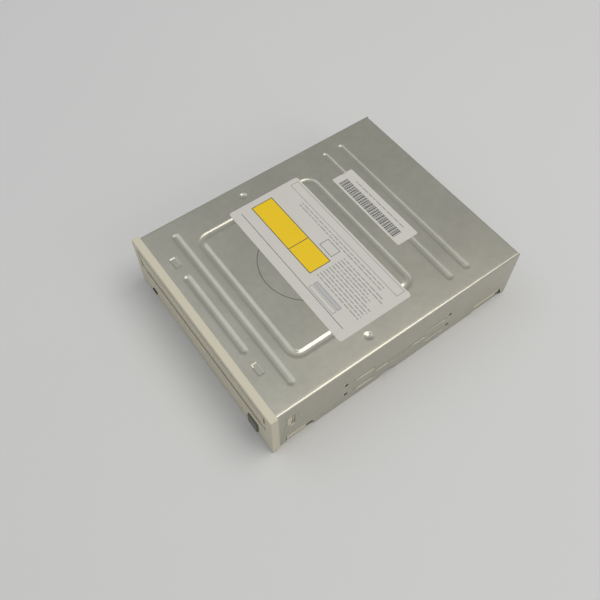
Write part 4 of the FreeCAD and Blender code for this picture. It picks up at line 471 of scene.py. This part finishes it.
def threaded_screw():
    """A round bar along Y with one thread cut in it, and a plain journal at each end."""
    low, high = (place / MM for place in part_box("lead_screw"))
    first, last = thread_ends
    steps = round((last - first) / thread_pitch * thread_sides)
    stations = [(low.y, 0.0), (low.y, journal_radius), (first, journal_radius)]
    stations += [(first + (last - first) * step / steps, None) for step in range(steps + 1)]
    stations += [(last, journal_radius), (high.y, journal_radius), (high.y, 0.0)]
    work = bmesh.new()
    rings = []
    for y, radius in stations:
        ring = []
        for step in range(thread_sides):
            angle = 2 * math.pi * step / thread_sides
            wave = 0.5 + 0.5 * math.cos(2 * math.pi * y / thread_pitch - angle)
            reach = radius
            if radius is None:
                reach = thread_root + (thread_crest - thread_root) * min(1.0, wave * thread_flat)
            place = (screw_axis[0] + reach * math.cos(angle), y, screw_axis[1] + reach * math.sin(angle))
            ring.append(work.verts.new(Vector(place) * MM))
        rings.append(ring)
    for before, after in zip(rings, rings[1:]):
        for step in range(thread_sides):
            beyond = (step + 1) % thread_sides
            work.faces.new((before[step], before[beyond], after[beyond], after[step]))
    bmesh.ops.remove_doubles(work, verts=work.verts, dist=weld_gap * MM)
    bmesh.ops.recalc_face_normals(work, faces=work.faces)
    return work


die_cast = finish("die_cast", colour=(0.50, 0.51, 0.52), roughness=0.50, metal=0.9, patch=5,
                  grain=0.2, grain_size=0.35)
lens_plastic = finish("lens_plastic", colour=(0.10, 0.14, 0.22), roughness=0.05, mottle=0.02, patch=2,
                      grain=0.0, coat=1.0)
softened("guide_rods", ground_steel, edge=0.3)
softened("rod_clamps", black_moulding, edge=0.2)
softened("sled_motor", motor_steel, edge=0.4, segments=3)
softened("screw_bracket", plated_steel, edge=0.12)
stands_for(shown("lead_screw_shown", threaded_screw(), [ground_steel], smooth=50), "lead_screw")
softened("pickup_body", die_cast, edge=0.25)
softened("actuator_base", plated_steel, edge=0.12)
softened("lens_holder", black_moulding, edge=0.2)
softened("objective_lens", lens_plastic, edge=0.08, angle=50)


# Tray: black moulded plastic with two disc recesses, a way for the pickup and a rack below. Its
# cream door clips onto the front edge. A rebate round the door's top and ends makes a dark gap.

cover_rear = 92.6
drive_depth = 184.0
front_face = cover_rear - drive_depth
tray_black = finish("tray_black", colour=(0.020, 0.020, 0.021), roughness=0.42, mottle=0.08, patch=25,
                    grain=0.14, grain_size=0.3)
cream = finish("cream_plastic", colour=(0.66, 0.61, 0.475), roughness=0.50, mottle=0.015, patch=40,
               grain=0.10, grain_size=0.22)
door_edge = 0.5
rebate_drop = 0.9
rebate_lip = 0.2
rebate_floor = 1.8
rebate_back = 1.4
end_rebate_start = 8.2


def door_rebates():
    """What the rebate takes off the door's top and two ends, with a deeper channel behind a thin lip."""
    low, high = (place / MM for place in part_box("tray_door"))
    outer, lip, back = front_face - cutter_over, front_face + rebate_lip, front_face + rebate_back
    over_left, over_right, over_top = low.x - cutter_over, high.x + cutter_over, high.z + cutter_over
    end_low = low.z + end_rebate_start

    def cut(axis, edge, side, start, stop):
        outside = edge + side * cutter_over
        shelf, floor = edge - side * rebate_drop, edge - side * rebate_floor
        line = [(outer, outside), (outer, shelf), (lip, shelf), (lip, floor), (back, floor), (back, outside)]
        work = bmesh.new()
        prism(work, line if axis == "X" else [(v, u) for u, v in line], axis, start, stop)
        return work

    return [
        cut("X", high.z, 1, over_left, over_right),
        cut("Z", high.x, 1, end_low, over_top),
        cut("Z", low.x, -1, end_low, over_top),
    ]


door = rounded(shown("tray_door_shown", merged("tray_door"), [cream]), door_edge, segments=3, flat=False)
for cutter in door_rebates():
    carve(door, cutter)
stands_for(door, "tray_door")
softened("tray", tray_black, edge=0.18)


# Clamp: a folded plated bridge screwed across the chassis over the tray, and the white clamper
# that hangs in its hole with a ring magnet and a cap, and turns with the disc.

magnet = finish("magnet", colour=(0.12, 0.12, 0.13), roughness=0.55, metal=0.6, patch=3)
softened("clamper_bridge", plated_steel, edge=0.12)
screws("bridge_screws", head_height=0.9, shank_share=0.62, face_up=True, seed=17)
softened("clamper_disc", hub_plastic, edge=0.2)
softened("clamp_magnet", magnet, edge=0.2)
softened("clamper_cap", hub_plastic, edge=0.2)


# Boards: green glass-fibre circuit boards with tracks under the lacquer, screwed to the chassis.
# They carry black chips, sleeved capacitors, white sockets for the flat cables, two small
# switches and the lamp.

track_pitch = 2.2
track_width = 0.16
track_ring = 0.25
track_green = (0.06, 0.26, 0.09, 1)


def finished(node, material):
    """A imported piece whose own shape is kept, in a finish of its own."""
    mesh = frame["nodes"][node].data
    mesh.materials.clear()
    mesh.materials.append(material)


def coloured(material, output):
    """The finish with its colour taken from this output."""
    tree = material.node_tree
    tree.links.new(output, tree.nodes["Principled BSDF"].inputs["Base Color"])
    return material


def circuit_board():
    """Green lacquer over a net of copper tracks."""
    material = finish("circuit_board", colour=(0.012, 0.10, 0.04), roughness=0.32, mottle=0.12, patch=4,
                      coat=0.5)
    tree = material.node_tree
    net = wired(tree, "ShaderNodeTexVoronoi", {
        "Vector": tree.nodes["Texture Coordinate"].outputs["Object"], "Scale": 1 / (track_pitch * MM),
    }, distance="MANHATTAN", feature="F1")
    rings = wired(tree, "ShaderNodeMath", {0: net.outputs["Distance"], 1: track_ring}, operation="PINGPONG")
    track = wired(tree, "ShaderNodeMapRange", {
        "Value": rings.outputs["Value"], "From Min": track_ring - track_width / 2, "From Max": track_ring})
    lit = wired(tree, "ShaderNodeMix", {"Factor": track.outputs["Result"]}, data_type="RGBA")
    of_kind(lit.inputs, "RGBA", "B").default_value = track_green
    tree.links.new(tree.nodes["tint"].outputs["Color"], of_kind(lit.inputs, "RGBA", "A"))
    return coloured(material, of_kind(lit.outputs, "RGBA"))


board_lacquer = circuit_board()
white_plastic = finish("white_plastic", colour=(0.66, 0.65, 0.60), roughness=0.45, mottle=0.03, patch=8,
                       grain=0.06)
sleeve = finish("capacitor_sleeve", colour=(0.022, 0.028, 0.075), roughness=0.35, mottle=0.05, patch=3,
                coat=0.2)
lamp_epoxy = finish("lamp_epoxy", colour=(0.10, 0.35, 0.08), roughness=0.15, mottle=0.05, patch=2,
                    grain=0.0, coat=0.6)
finished("main_board", board_lacquer)
finished("front_board", board_lacquer)
softened("board_chips", black_moulding, edge=0.12)
softened("capacitors", sleeve, edge=0.3)
softened("flex_sockets", white_plastic, edge=0.1)
screws("board_screws", head_height=1.4, shank_share=0.56, face_up=True, seed=5)
finished("eject_switch", black_moulding)
finished("tray_switch", black_moulding)
finished("indicator_lamp", lamp_epoxy)


# Rear sockets: moulded shrouds soldered to the main board, with gold-plated pins in rows. The
# wide one has forty places with one left out as a key. The jumper cap is a white clip.

pin_point = 0.7
point_share = 0.45


def pin_tree():
    """Geometry nodes that set rows of pointed pins in a grid and leave one place out."""
    tree, given = geometry_tree("pin_rows", (
        ("Mesh", "Geometry"), ("Columns", "Int"), ("Rows", "Int"), ("Pitch", "Float"), ("Start", "Vector"),
        ("Width", "Float"), ("Length", "Float"), ("Point", "Float"), ("Sides", "Int"), ("Left Out", "Int"),
        ("Finish", "Material")))

    def maths(operation, first, second):
        return wired(tree, "ShaderNodeMath", {0: first, 1: second}, operation=operation).outputs[0]

    sizes = {}
    for side, count in (("X", "Columns"), ("Y", "Rows")):
        sizes["Size " + side] = maths("MULTIPLY", maths("SUBTRACT", given[count], 1), given["Pitch"])
        sizes["Vertices " + side] = given[count]
    grid = wired(tree, "GeometryNodeMeshGrid", sizes)
    upright = wired(tree, "GeometryNodeTransform", {
        "Geometry": grid.outputs["Mesh"], "Translation": given["Start"], "Rotation": (math.pi / 2, 0, 0)})
    key = wired(tree, "FunctionNodeCompare", data_type="INT", operation="EQUAL")
    tree.links.new(wired(tree, "GeometryNodeInputIndex").outputs["Index"], of_kind(key.inputs, "INT", "A"))
    tree.links.new(given["Left Out"], of_kind(key.inputs, "INT", "B"))
    places = wired(tree, "GeometryNodeDeleteGeometry", {
        "Geometry": upright.outputs["Geometry"], "Selection": key.outputs["Result"]}, domain="POINT")
    radius = maths("MULTIPLY", given["Width"], 0.5)
    straight = maths("SUBTRACT", given["Length"], given["Point"])
    shank = wired(tree, "GeometryNodeMeshCone", {
        "Vertices": given["Sides"], "Radius Top": radius, "Radius Bottom": radius, "Depth": straight})
    tip = wired(tree, "GeometryNodeMeshCone", {
        "Vertices": given["Sides"], "Radius Top": maths("MULTIPLY", radius, point_share),
        "Radius Bottom": radius, "Depth": given["Point"]})
    rise = wired(tree, "ShaderNodeCombineXYZ", {"Z": straight})
    raised = wired(tree, "GeometryNodeTransform", {
        "Geometry": tip.outputs["Mesh"], "Translation": rise.outputs["Vector"]})
    pin = wired(tree, "GeometryNodeJoinGeometry")
    tree.links.new(raised.outputs["Geometry"], pin.inputs["Geometry"])
    tree.links.new(shank.outputs["Mesh"], pin.inputs["Geometry"])
    rearward = wired(tree, "GeometryNodeTransform", {
        "Geometry": pin.outputs["Geometry"], "Rotation": (-math.pi / 2, math.pi / 4, 0)})
    placed = wired(tree, "GeometryNodeInstanceOnPoints", {
        "Points": places.outputs["Geometry"], "Instance": rearward.outputs["Geometry"]})
    return ended(tree, placed, given["Finish"])


def pins(node, columns, rows, pitch, sides, left_out=-1):
    """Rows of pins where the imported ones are, pointing to the rear."""
    low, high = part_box(node)
    first = solids_of(node)[0]
    width = (first[1].x - first[0].x) * (math.sqrt(2) if sides == 4 else 1)
    start = Vector(((low.x + high.x) / 2, low.y, (low.z + high.z) / 2))
    piece = shown(node + "_shown", bmesh.new(), [])
    rack = piece.modifiers.new("Rows", "NODES")
    rack.node_group = pin_rows
    set_inputs(rack, {
        "Columns": columns, "Rows": rows, "Pitch": pitch * MM, "Start": start, "Width": width,
        "Length": high.y - low.y, "Point": pin_point * MM, "Sides": sides, "Left Out": left_out,
        "Finish": gold,
    })
    settled(piece)
    stands_for(piece, node)


pin_rows = pin_tree()
gold = finish("gold_plate", colour=(0.80, 0.58, 0.24), roughness=0.22, metal=1.0, mottle=0.04, patch=2,
              grain=0.01)
white_socket = finish("white_socket", colour=(0.62, 0.60, 0.52), roughness=0.5, mottle=0.03, patch=8,
                      grain=0.08)
softened("bus_socket", black_moulding, edge=0.15)
softened("power_socket", white_socket, edge=0.2)
softened("audio_socket", black_moulding, edge=0.12)
softened("jumper_block", black_moulding, edge=0.1)
softened("jumper_cap", white_plastic, edge=0.15)
pins("bus_pins", columns=20, rows=2, pitch=2.54, sides=4, left_out=20)
pins("power_pins", columns=4, rows=1, pitch=5.08, sides=12)
pins("audio_pins", columns=4, rows=1, pitch=2.54, sides=4)


# Eject button: a grey moulded cap that slides in the front panel, and behind it the black
# plunger of the switch, which it presses in.

button_grey = finish("button_grey", colour=(0.152, 0.152, 0.124), roughness=0.45, mottle=0.03, patch=4,
                     grain=0.10, grain_size=0.22)
softened("eject_button", button_grey, edge=0.35, segments=3)
softened("switch_plunger", black_moulding, edge=0.1)


# Bottom cover: a shallow tray of hot-dip galvanised steel that slides up inside the top cover.
# Four zinc-plated pan-head screws hold both covers to the chassis.

steel_colour = (0.505, 0.488, 0.412)
spangle_size = 3.5
spangle_dark = 0.965
spangle_light = 1.035


def galvanised(name):
    """Zinc-coated sheet with a faint spangle."""
    material = finish(name, steel_colour, roughness=0.30, metal=0.85, mottle=0.035, patch=30,
                      grain=0.025, grain_size=0.5)
    tree = material.node_tree
    crystal = wired(tree, "ShaderNodeTexVoronoi", {
        "Vector": tree.nodes["Texture Coordinate"].outputs["Object"], "Scale": 1 / (spangle_size * MM)})
    shade = wired(tree, "ShaderNodeMapRange", {
        "Value": crystal.outputs["Color"], "To Min": spangle_dark, "To Max": spangle_light})
    spangled = wired(tree, "ShaderNodeVectorMath", {
        0: tree.nodes["tint"].outputs["Color"], "Scale": shade.outputs["Result"],
    }, operation="SCALE", name="spangled")
    return coloured(material, spangled.outputs["Vector"])


softened("bottom_cover", galvanised("galvanised_base"), edge=0.15)
screws("bottom_screws", head_height=1.5, shank_share=0.56, face_up=False, seed=3)


# Top cover: one sheet of hot-dip galvanised steel, 0.8 mm thick, folded down at both sides and
# at the rear. Its ribs, beads and dimples are pressed inwards with soft shoulders, and the
# windows, notches and screw holes are punched.

cover_half = 73.0
cover_high = 41.3
cover_bend = 1.3
cover_gauge = 0.8
flange_low = 19.0
cover_front = 5.0
coarse_step = 2.0


def lines(low, high, marks):
    """Places from low to high, wide apart but close together within reach of each mark."""
    places = [low]
    while places[-1] < high:
        here = places[-1]
        steps = [max(fine, abs(here - centre) - reach)
                 for centre, reach, fine in marks if here < centre + reach]
        places.append(min(high, here + min([coarse_step] + steps)))
    return places


def outside_box(x, y, half_x, half_y, corner=0.0):
    """How far a point lies outside a rounded rectangle about the origin, or below nothing inside it."""
    over_x = abs(x) - half_x + corner
    over_y = abs(y) - half_y + corner
    return math.hypot(max(over_x, 0), max(over_y, 0)) + min(max(over_x, over_y), 0) - corner


def pressed(distance, depth, inner, outer):
    """Depth of a pressing with soft shoulders, from its full depth inside to nothing outside."""
    share = min(1.0, max(0.0, (outer - distance) / (outer - inner)))
    return depth * share * share * (3 - 2 * share)


# Each straight rib: half its length, and its depth behind the front panel's face.
rib_rows = ((62.5, 151.1), (62.5, 138.0), (62.5, 23.1), (32.0, 13.1))
rib_half = 2.6
rib_floor = 0.7
rib_shoulder = 0.2
rib_depth = 0.5
loop_middle = 75.6
loop_half = (50.0, 42.5)
loop_corner = 6.5
stamp_place = (43.5, 13.2)
stamp_half = (4.0, 2.25)
stamp_corner = 0.6
stamp_shoulder = (-0.45, 0.15)
stamp_depth = 0.4
dimple_place = (63.0, 74.5)
dimple_floor = 0.8
dimple_radius = 3.0
dimple_depth = 0.6


def top_depth(x, depth):
    """How far the top is pressed in, at x and at a depth behind the front panel's face."""
    distance = abs(outside_box(x, depth - loop_middle, *loop_half, loop_corner))
    for half_length, row in rib_rows:
        along = max(abs(x) - half_length + rib_half, 0)
        distance = min(distance, math.hypot(along, depth - row))
    stamp = outside_box(abs(x) - stamp_place[0], depth - stamp_place[1], *stamp_half, stamp_corner)
    dimple = math.hypot(abs(x) - dimple_place[0], depth - dimple_place[1])
    return max(pressed(distance, rib_depth, rib_floor, rib_half + rib_shoulder),
               pressed(stamp, stamp_depth, *stamp_shoulder),
               pressed(dimple, dimple_depth, dimple_floor, dimple_radius))


# Each bead in a side wall: the depth of its middle, its length, and the height of its middle.
side_beads = ((65.8, 15.5, 8.5), (120.8, 15.5, 8.5), (65.8, 15.5, 20.5), (120.8, 15.5, 20.5),
              (79.8, 12.4, 14.8), (107.2, 12.4, 14.8))
bead_half = 1.3
bead_corner = 0.6
bead_shoulder = (-0.25, 0.15)
bead_depth = 0.4
side_ticks = [88.5 + 3.7 * step for step in range(4)]
tick_height = 14.8
tick_half = (0.8, 2.5)
tick_corner = 0.5
latch_middle = (14.0, 25.7)
latch_half = (4.8, 6.5)
latch_corner = 1.0


def side_depth(depth, z):
    """How far a side wall is pressed in, at a depth behind the front panel's face and a height."""
    boxes = [outside_box(depth - row, z - height, length / 2, bead_half, bead_corner)
             for row, length, height in side_beads]
    boxes += [outside_box(depth - row, z - tick_height, *tick_half, tick_corner) for row in side_ticks]
    boxes.append(outside_box(depth - latch_middle[0], z - latch_middle[1], *latch_half, latch_corner))
    return pressed(min(boxes), bead_depth, *bead_shoulder)


# Where the sheet is cut finely: the middle of each place, how far it reaches, and the step there.
soft_step, crisp_step = 0.5, 0.2
top_marks = [(row, 3.0, soft_step) for half_length, row in rib_rows]
top_marks += [(34.8, 4.8, soft_step), (74.5, 3.1, soft_step), (116.4, 4.8, soft_step)]
top_marks += [(10.95, 0.4, crisp_step), (15.45, 0.4, crisp_step)]
across_marks = [(31.0, 1.8, soft_step), (48.3, 4.9, soft_step), (62.9, 3.3, soft_step)]
across_marks += [(39.5, 0.4, crisp_step), (47.5, 0.4, crisp_step)]
bead_rows = [row + side * length / 2 for row, length, height in side_beads for side in (-1, 1)]
bead_rows += [row + side * tick_half[0] for row in side_ticks for side in (-1, 1)]
bead_rows += [latch_middle[0] - latch_half[0], latch_middle[0] + latch_half[0]]
bead_heights = (7.2, 9.8, 12.3, 13.5, 16.1, 17.3, 19.2, 21.8, 32.2)
bead_reach, bead_step = 0.25, 0.17
bend_cuts, rear_cuts = 8, 6


def zipped(work, before, after):
    """Triangles between two lines of corners that run the same way but are not cut alike."""
    left, right = 0, 0
    while left + right < len(before) + len(after) - 2:
        more_left, more_right = left < len(before) - 1, right < len(after) - 1
        if more_left and (not more_right or before[left + 1].co.y < after[right + 1].co.y):
            work.faces.new((before[left], before[left + 1], after[right]))
            left += 1
        else:
            work.faces.new((before[left], after[right + 1], after[right]))
            right += 1


def cover_skin():
    """The sheet's outer face: a grid over the top and its bends, joined to one down each side."""
    bend_side, bend_high = cover_half - cover_bend, cover_high - cover_bend
    stop = drive_depth - cover_bend
    work = bmesh.new()

    def row_of(places, depth):
        return [work.verts.new(Vector((x, depth + front_face, z)) * MM) for x, z in places(depth)]

    def strips(rows):
        for before, after in zip(rows, rows[1:]):
            for left in range(len(before) - 1):
                work.faces.new((before[left], before[left + 1], after[left + 1], after[left]))

    half_across = lines(0.0, bend_side, across_marks)
    across = [-x for x in reversed(half_across[1:])] + half_across
    turn = [math.pi / 2 * step / bend_cuts for step in range(bend_cuts)]
    fold = [(cover_bend * math.cos(angle), cover_bend * math.sin(angle)) for angle in turn]

    def over_top(depth):
        left = [(-bend_side - x, bend_high + z) for x, z in fold]
        top = [(x, cover_high - top_depth(x, depth)) for x in across]
        right = [(bend_side + x, bend_high + z) for x, z in reversed(fold)]
        return left + top + right

    grid = [row_of(over_top, depth) for depth in lines(cover_front, stop, top_marks)]
    strips(grid)
    ends = row_of(over_top, drive_depth)
    count = len(fold) + 1
    strips([grid[-1][:count], ends[:count]])
    strips([grid[-1][-count:], ends[-count:]])
    folded = [grid[-1][len(fold):-len(fold)]]
    for step in range(1, rear_cuts + 1):
        angle = math.pi / 2 * step / rear_cuts
        y = cover_rear - cover_bend + cover_bend * math.sin(angle)
        z = cover_high - cover_bend + cover_bend * math.cos(angle)
        folded.append([work.verts.new(Vector((x, y, z)) * MM) for x in across])
    folded.append([work.verts.new(Vector((x, cover_rear, flange_low)) * MM) for x in across])
    strips(folded)

    heights = lines(0.0, bend_high, [(height, bead_reach, bead_step) for height in bead_heights])[:-1]
    side_rows = lines(cover_front, stop, [(row, bead_reach, bead_step) for row in bead_rows]) + [drive_depth]
    for side, edge in ((-1, 0), (1, -1)):
        def down_side(depth):
            return [(side * (cover_half - side_depth(depth, z)), z) for z in heights]

        wall = [row_of(down_side, depth) for depth in side_rows]
        strips(wall)
        zipped(work, [row[-1] for row in wall], [row[edge] for row in grid + [ends]])
    loose = [corner for corner in work.verts if not corner.link_faces]
    bmesh.ops.delete(work, geom=loose, context="VERTS")
    bmesh.ops.recalc_face_normals(work, faces=work.faces)
    return work


def rectangle(low_u, high_u, low_v, high_v):
    return [(low_u, low_v), (high_u, low_v), (high_u, high_v), (low_u, high_v)]


def circle(u, v, radius, count=32):
    angles = [2 * math.pi * step / count for step in range(count)]
    return [(u + radius * math.cos(angle), v + radius * math.sin(angle)) for angle in angles]


mount_rows = (52.4, 131.65)
mount_heights = (10.0, 21.8)
mount_radius = 1.25
# The window: its front, rear, foot and top. Each notch: where it starts, its length and its height.
latch_window = (11.2, 16.8, 21.2, 30.2)
cover_notches = ((10.0, 17.5, 7.6), (155.0, 23.0, 8.6), (79.0, 9.5, 3.0))
notch_slope = 3.5
punch_inside, punch_outside = 3.0, 2.0


def cover_punches():
    """What is punched out of the two sides: screw holes, a window each, and notches in the lower edge."""
    work = bmesh.new()
    for sign in (-1, 1):
        wall = sorted((sign * (cover_half - punch_inside), sign * (cover_half + punch_outside)))
        for row in mount_rows:
            for height in mount_heights:
                prism(work, circle(row + front_face, height, mount_radius), "X", *wall)
        front, rear, low, high = latch_window
        prism(work, rectangle(front + front_face, rear + front_face, low, high), "X", *wall)
        for row, length, height in cover_notches:
            front = row + front_face
            rear = front + length
            foot = -cutter_over
            notch = [(front, foot), (front, height), (rear, height), (rear + notch_slope, foot)]
            prism(work, notch, "X", *wall)
    return work


# Painted shade: where the dark round line for the groove lies on the top cover, how wide it is, and how dark
# its middle gets.
groove_radius = 30.0
groove_middle = 78.0 + front_face
groove_width = 0.9
painted_groove_darkness = 0.12


def painted_groove_shadow(material):
    """The zinc finish with a thin round dark line painted on it: painted shade that stands for a groove,
    which the sheet's shape does not have.
    """
    tree = material.node_tree
    flat = wired(tree, "ShaderNodeVectorMath", {
        0: tree.nodes["Texture Coordinate"].outputs["Object"], 1: (1, 1, 0), 2: (0, -groove_middle * MM, 0),
    }, operation="MULTIPLY_ADD")
    reach = wired(tree, "ShaderNodeVectorMath", {0: flat.outputs["Vector"]}, operation="LENGTH")
    line = wired(tree, "ShaderNodeMapRange", {
        "Value": reach.outputs["Value"], "From Min": (groove_radius - groove_width) * MM,
        "From Max": groove_radius * MM}, interpolation_type="SMOOTHSTEP")
    edge = wired(tree, "ShaderNodeMath", {0: line.outputs["Result"], 1: 0.5}, operation="PINGPONG")
    shadow = wired(tree, "ShaderNodeMapRange", {
        "Value": edge.outputs["Value"], "From Max": 0.5, "To Min": 1.0, "To Max": painted_groove_darkness})
    # Painted shade: the zinc colour darkened along the line.
    painted_groove_line = wired(tree, "ShaderNodeVectorMath", {
        0: tree.nodes["spangled"].outputs["Vector"], "Scale": shadow.outputs["Result"]}, operation="SCALE")
    return coloured(material, painted_groove_line.outputs["Vector"])


# The top cover's zinc carries the painted shade line of the round groove.
cover = shown("top_cover_shown", cover_skin(), [painted_groove_shadow(galvanised("galvanised_cover"))])
gauge = cover.modifiers.new("Gauge", "SOLIDIFY")
gauge.thickness = cover_gauge * MM
gauge.offset = -1
settled(cover)
carve(cover, cover_punches())
stands_for(cover, "top_cover")


# Rating label and stock sticker: white self-adhesive paper pressed onto the top cover, where it
# sags a little into the ribs. The print is plain fields, boxes, rules and bars with no words.

paper_thick = 0.1
paper_gauge = 0.08
paper_white = (0.65, 0.625, 0.57)
ink_black = (0.06, 0.06, 0.06)
ink_grey = (0.23, 0.23, 0.222)
frame_grey = (0.06, 0.06, 0.055)
pale_grey = (0.50, 0.50, 0.485)
ink_yellow = (0.90, 0.60, 0.0)
paper_sag = 0.1
edge_sag = 0.8
edge_reach = 2.0
sheet_cells = 60
sheet_angle = 60
least_cell = 0.05


def printed_paper():
    """Coated paper whose colour comes from the sheet's own ink attribute."""
    material = finish("printed_paper", colour=(1, 1, 1), roughness=0.5, mottle=0.02, patch=20,
                      grain=0.03, grain_size=0.3)
    tree = material.node_tree
    ink = wired(tree, "ShaderNodeAttribute", attribute_name="ink")
    printed = wired(tree, "ShaderNodeVectorMath", {
        0: ink.outputs["Color"], 1: tree.nodes["tint"].outputs["Color"]}, operation="MULTIPLY")
    return coloured(material, printed.outputs["Vector"])


def boxed(x_low, x_high, row_low, row_high, border, ink, inside):
    """A printed box: a field of border ink with another field inside it."""
    inner = (x_low + border, x_high - border, row_low + border, row_high - border)
    return [(x_low, x_high, row_low, row_high, ink), (*inner, inside)]


def label_sheet(node, corner, fields, material):
    """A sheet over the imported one, cut into cells along its printed fields."""
    low, high = (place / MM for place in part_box(node))
    middle = ((low.x + high.x) / 2, (low.y + high.y) / 2)
    half = ((high.x - low.x) / 2, (high.y - low.y) / 2)

    def cuts(start, stop, edges):
        even = [start + (stop - start) * step / sheet_cells for step in range(sheet_cells + 1)]
        rows = sorted({round(place, 3) for place in even + edges if start <= place <= stop})
        return [rows[0]] + [after for before, after in zip(rows, rows[1:]) if after - before > least_cell]

    columns = cuts(low.x, high.x, [edge for field in fields for edge in field[:2]])
    rows = cuts(low.y, high.y, [edge + front_face for field in fields for edge in field[2:4]])
    work = bmesh.new()
    ink = work.loops.layers.float_color.new("ink")

    def vertex(x, y):
        out_x, out_y = x - middle[0], y - middle[1]
        arc_x, arc_y = half[0] - corner, half[1] - corner
        over_x, over_y = abs(out_x) - arc_x, abs(out_y) - arc_y
        reach = math.hypot(over_x, over_y)
        if min(over_x, over_y) > 0 and reach > corner:
            out_x = math.copysign(arc_x + over_x * corner / reach, out_x)
            out_y = math.copysign(arc_y + over_y * corner / reach, out_y)
        near_edge = max(0, 1 + outside_box(out_x, out_y, *half, corner) / edge_reach)
        share = paper_sag + (edge_sag - paper_sag) * near_edge
        x, y = out_x + middle[0], out_y + middle[1]
        z = cover_high + paper_thick - share * top_depth(x, y - front_face)
        return work.verts.new(Vector((x, y, z)) * MM)

    grid = [[vertex(x, y) for x in columns] for y in rows]
    for row in range(len(rows) - 1):
        for column in range(len(columns) - 1):
            face = work.faces.new((grid[row][column], grid[row][column + 1],
                                   grid[row + 1][column + 1], grid[row + 1][column]))
            x = (columns[column] + columns[column + 1]) / 2
            depth = (rows[row] + rows[row + 1]) / 2 - front_face
            colour = paper_white
            for x_low, x_high, row_low, row_high, field_ink in fields:
                if x_low < x < x_high and row_low < depth < row_high:
                    colour = field_ink
            for loop in face.loops:
                loop[ink] = (*colour, 1)
    bmesh.ops.dissolve_degenerate(work, dist=weld_gap * MM, edges=work.edges)
    sheet = shown(node + "_shown", work, [material], smooth=sheet_angle)
    thick = sheet.modifiers.new("Thick", "SOLIDIFY")
    thick.thickness = paper_gauge * MM
    thick.offset = -1
    settled(sheet, smooth=sheet_angle)
    stands_for(sheet, node)


dash_grid = 0.8
dash_height = 0.5
dash_lengths = (2, 7)
early_end = 0.05


def dashes(x_low, x_high, rows, seed):
    """Rows of short strokes and gaps on a common grid, in place of small print."""
    chance = random.Random(seed)
    strokes = []
    for row in rows:
        cell, last = 0, int((x_high - x_low) / dash_grid)
        while cell < last:
            span = min(chance.randint(*dash_lengths), last - cell)
            start = x_low + cell * dash_grid
            strokes.append((start, start + span * dash_grid, row, row + dash_height, ink_grey))
            cell += span + 1
            if chance.random() < early_end:
                break
    return strokes


label_corner = 1.8
# Each box: its left, right, front and rear edges, its border, and the inks of border and field.
label_boxes = (
    (-51.5, 10.0, 73.0, 88.5, 0.5, frame_grey, ink_yellow),
    (-52.5, 52.5, 104.0, 110.0, 0.3, ink_grey, paper_white),
    (17.0, 40.0, 66.6, 69.6, 0.3, ink_grey, paper_white),
    (17.0, 40.0, 70.4, 73.4, 0.3, ink_grey, pale_grey),
    (-4.0, 8.0, 90.5, 97.5, 0.5, ink_grey, paper_white),
)
label_rules = ((-51.5, 51.0, 65.4, 65.75, frame_grey), (-12.25, -11.75, 73.0, 88.5, frame_grey))
dash_rows = [76.0 + 2.2 * step for step in range(10)]
foot_rows = [99.2, 101.4]
label_fields = [field for box in label_boxes for field in boxed(*box)]
label_fields += label_rules
label_fields += dashes(x_low=13.0, x_high=52.0, rows=dash_rows, seed=2)
label_fields += dashes(x_low=-36.2, x_high=44.0, rows=foot_rows, seed=4)
paper = printed_paper()
label_sheet("rating_label", label_corner, label_fields, paper)

sticker_corner = 1.0
bar_widths = (0.3, 0.6, 0.4, 0.8)
bar_gaps = (0.4, 0.3, 0.6)
bar_rows = (130.0, 137.0)
bar_start, bar_end = -35.5, 18.5
sticker_fields = []
bar_place = bar_start
while bar_place < bar_end:
    width = bar_widths[len(sticker_fields) % len(bar_widths)]
    sticker_fields.append((bar_place, bar_place + width, *bar_rows, ink_black))
    bar_place += width + bar_gaps[len(sticker_fields) % len(bar_gaps)]
sticker_fields += dashes(x_low=-30.0, x_high=17.0, rows=[140.0], seed=2)
label_sheet("serial_sticker", sticker_corner, sticker_fields, paper)


# Front panel: cream moulded plastic with a fine eroded texture, clipped onto the chassis. Its
# sill is let down under the tray's door, with a channel behind its lip. A smoked window for
# the lamp stands a little proud of it.

panel_edge = 0.22
# What is cut away over the sill, seen from the front.
sill_line = [(-64.8, 21.8), (-64.8, 21.5), (-63.0, 20.6), (63.0, 20.6), (64.8, 21.5), (64.8, 21.8)]
sill_reach = 1.6
channel_half = 62.5
channel_lip = 0.5
channel_floor, channel_top = 19.2, 21.0

panel = shown("front_bezel_shown", merged("front_bezel"), [cream])
sill = bmesh.new()
prism(sill, sill_line, "Y", front_face - cutter_over, front_face + sill_reach)
channel = bmesh.new()
prism(channel, rectangle(front_face + channel_lip, front_face + sill_reach, channel_floor, channel_top), "X",
      -channel_half, channel_half)
stands_for(rounded(carve(carve(panel, sill), channel), panel_edge), "front_bezel")

window_shine = 0.04
lens_proud = 0.65
lens_face = 0.5
smoked = finish("smoked_window", colour=(0.006, 0.006, 0.007), roughness=0.30, mottle=0.02, grain=0.0)
smoked.node_tree.nodes["Principled BSDF"].inputs["Specular IOR Level"].default_value = window_shine
window = merged("indicator_lens")
for corner in window.verts:
    if corner.co.y < (front_face + lens_face) * MM:
        corner.co.y = (front_face - lens_proud) * MM
stands_for(rounded(shown("indicator_lens_shown", window, [smoked]), edge=0.12), "indicator_lens")
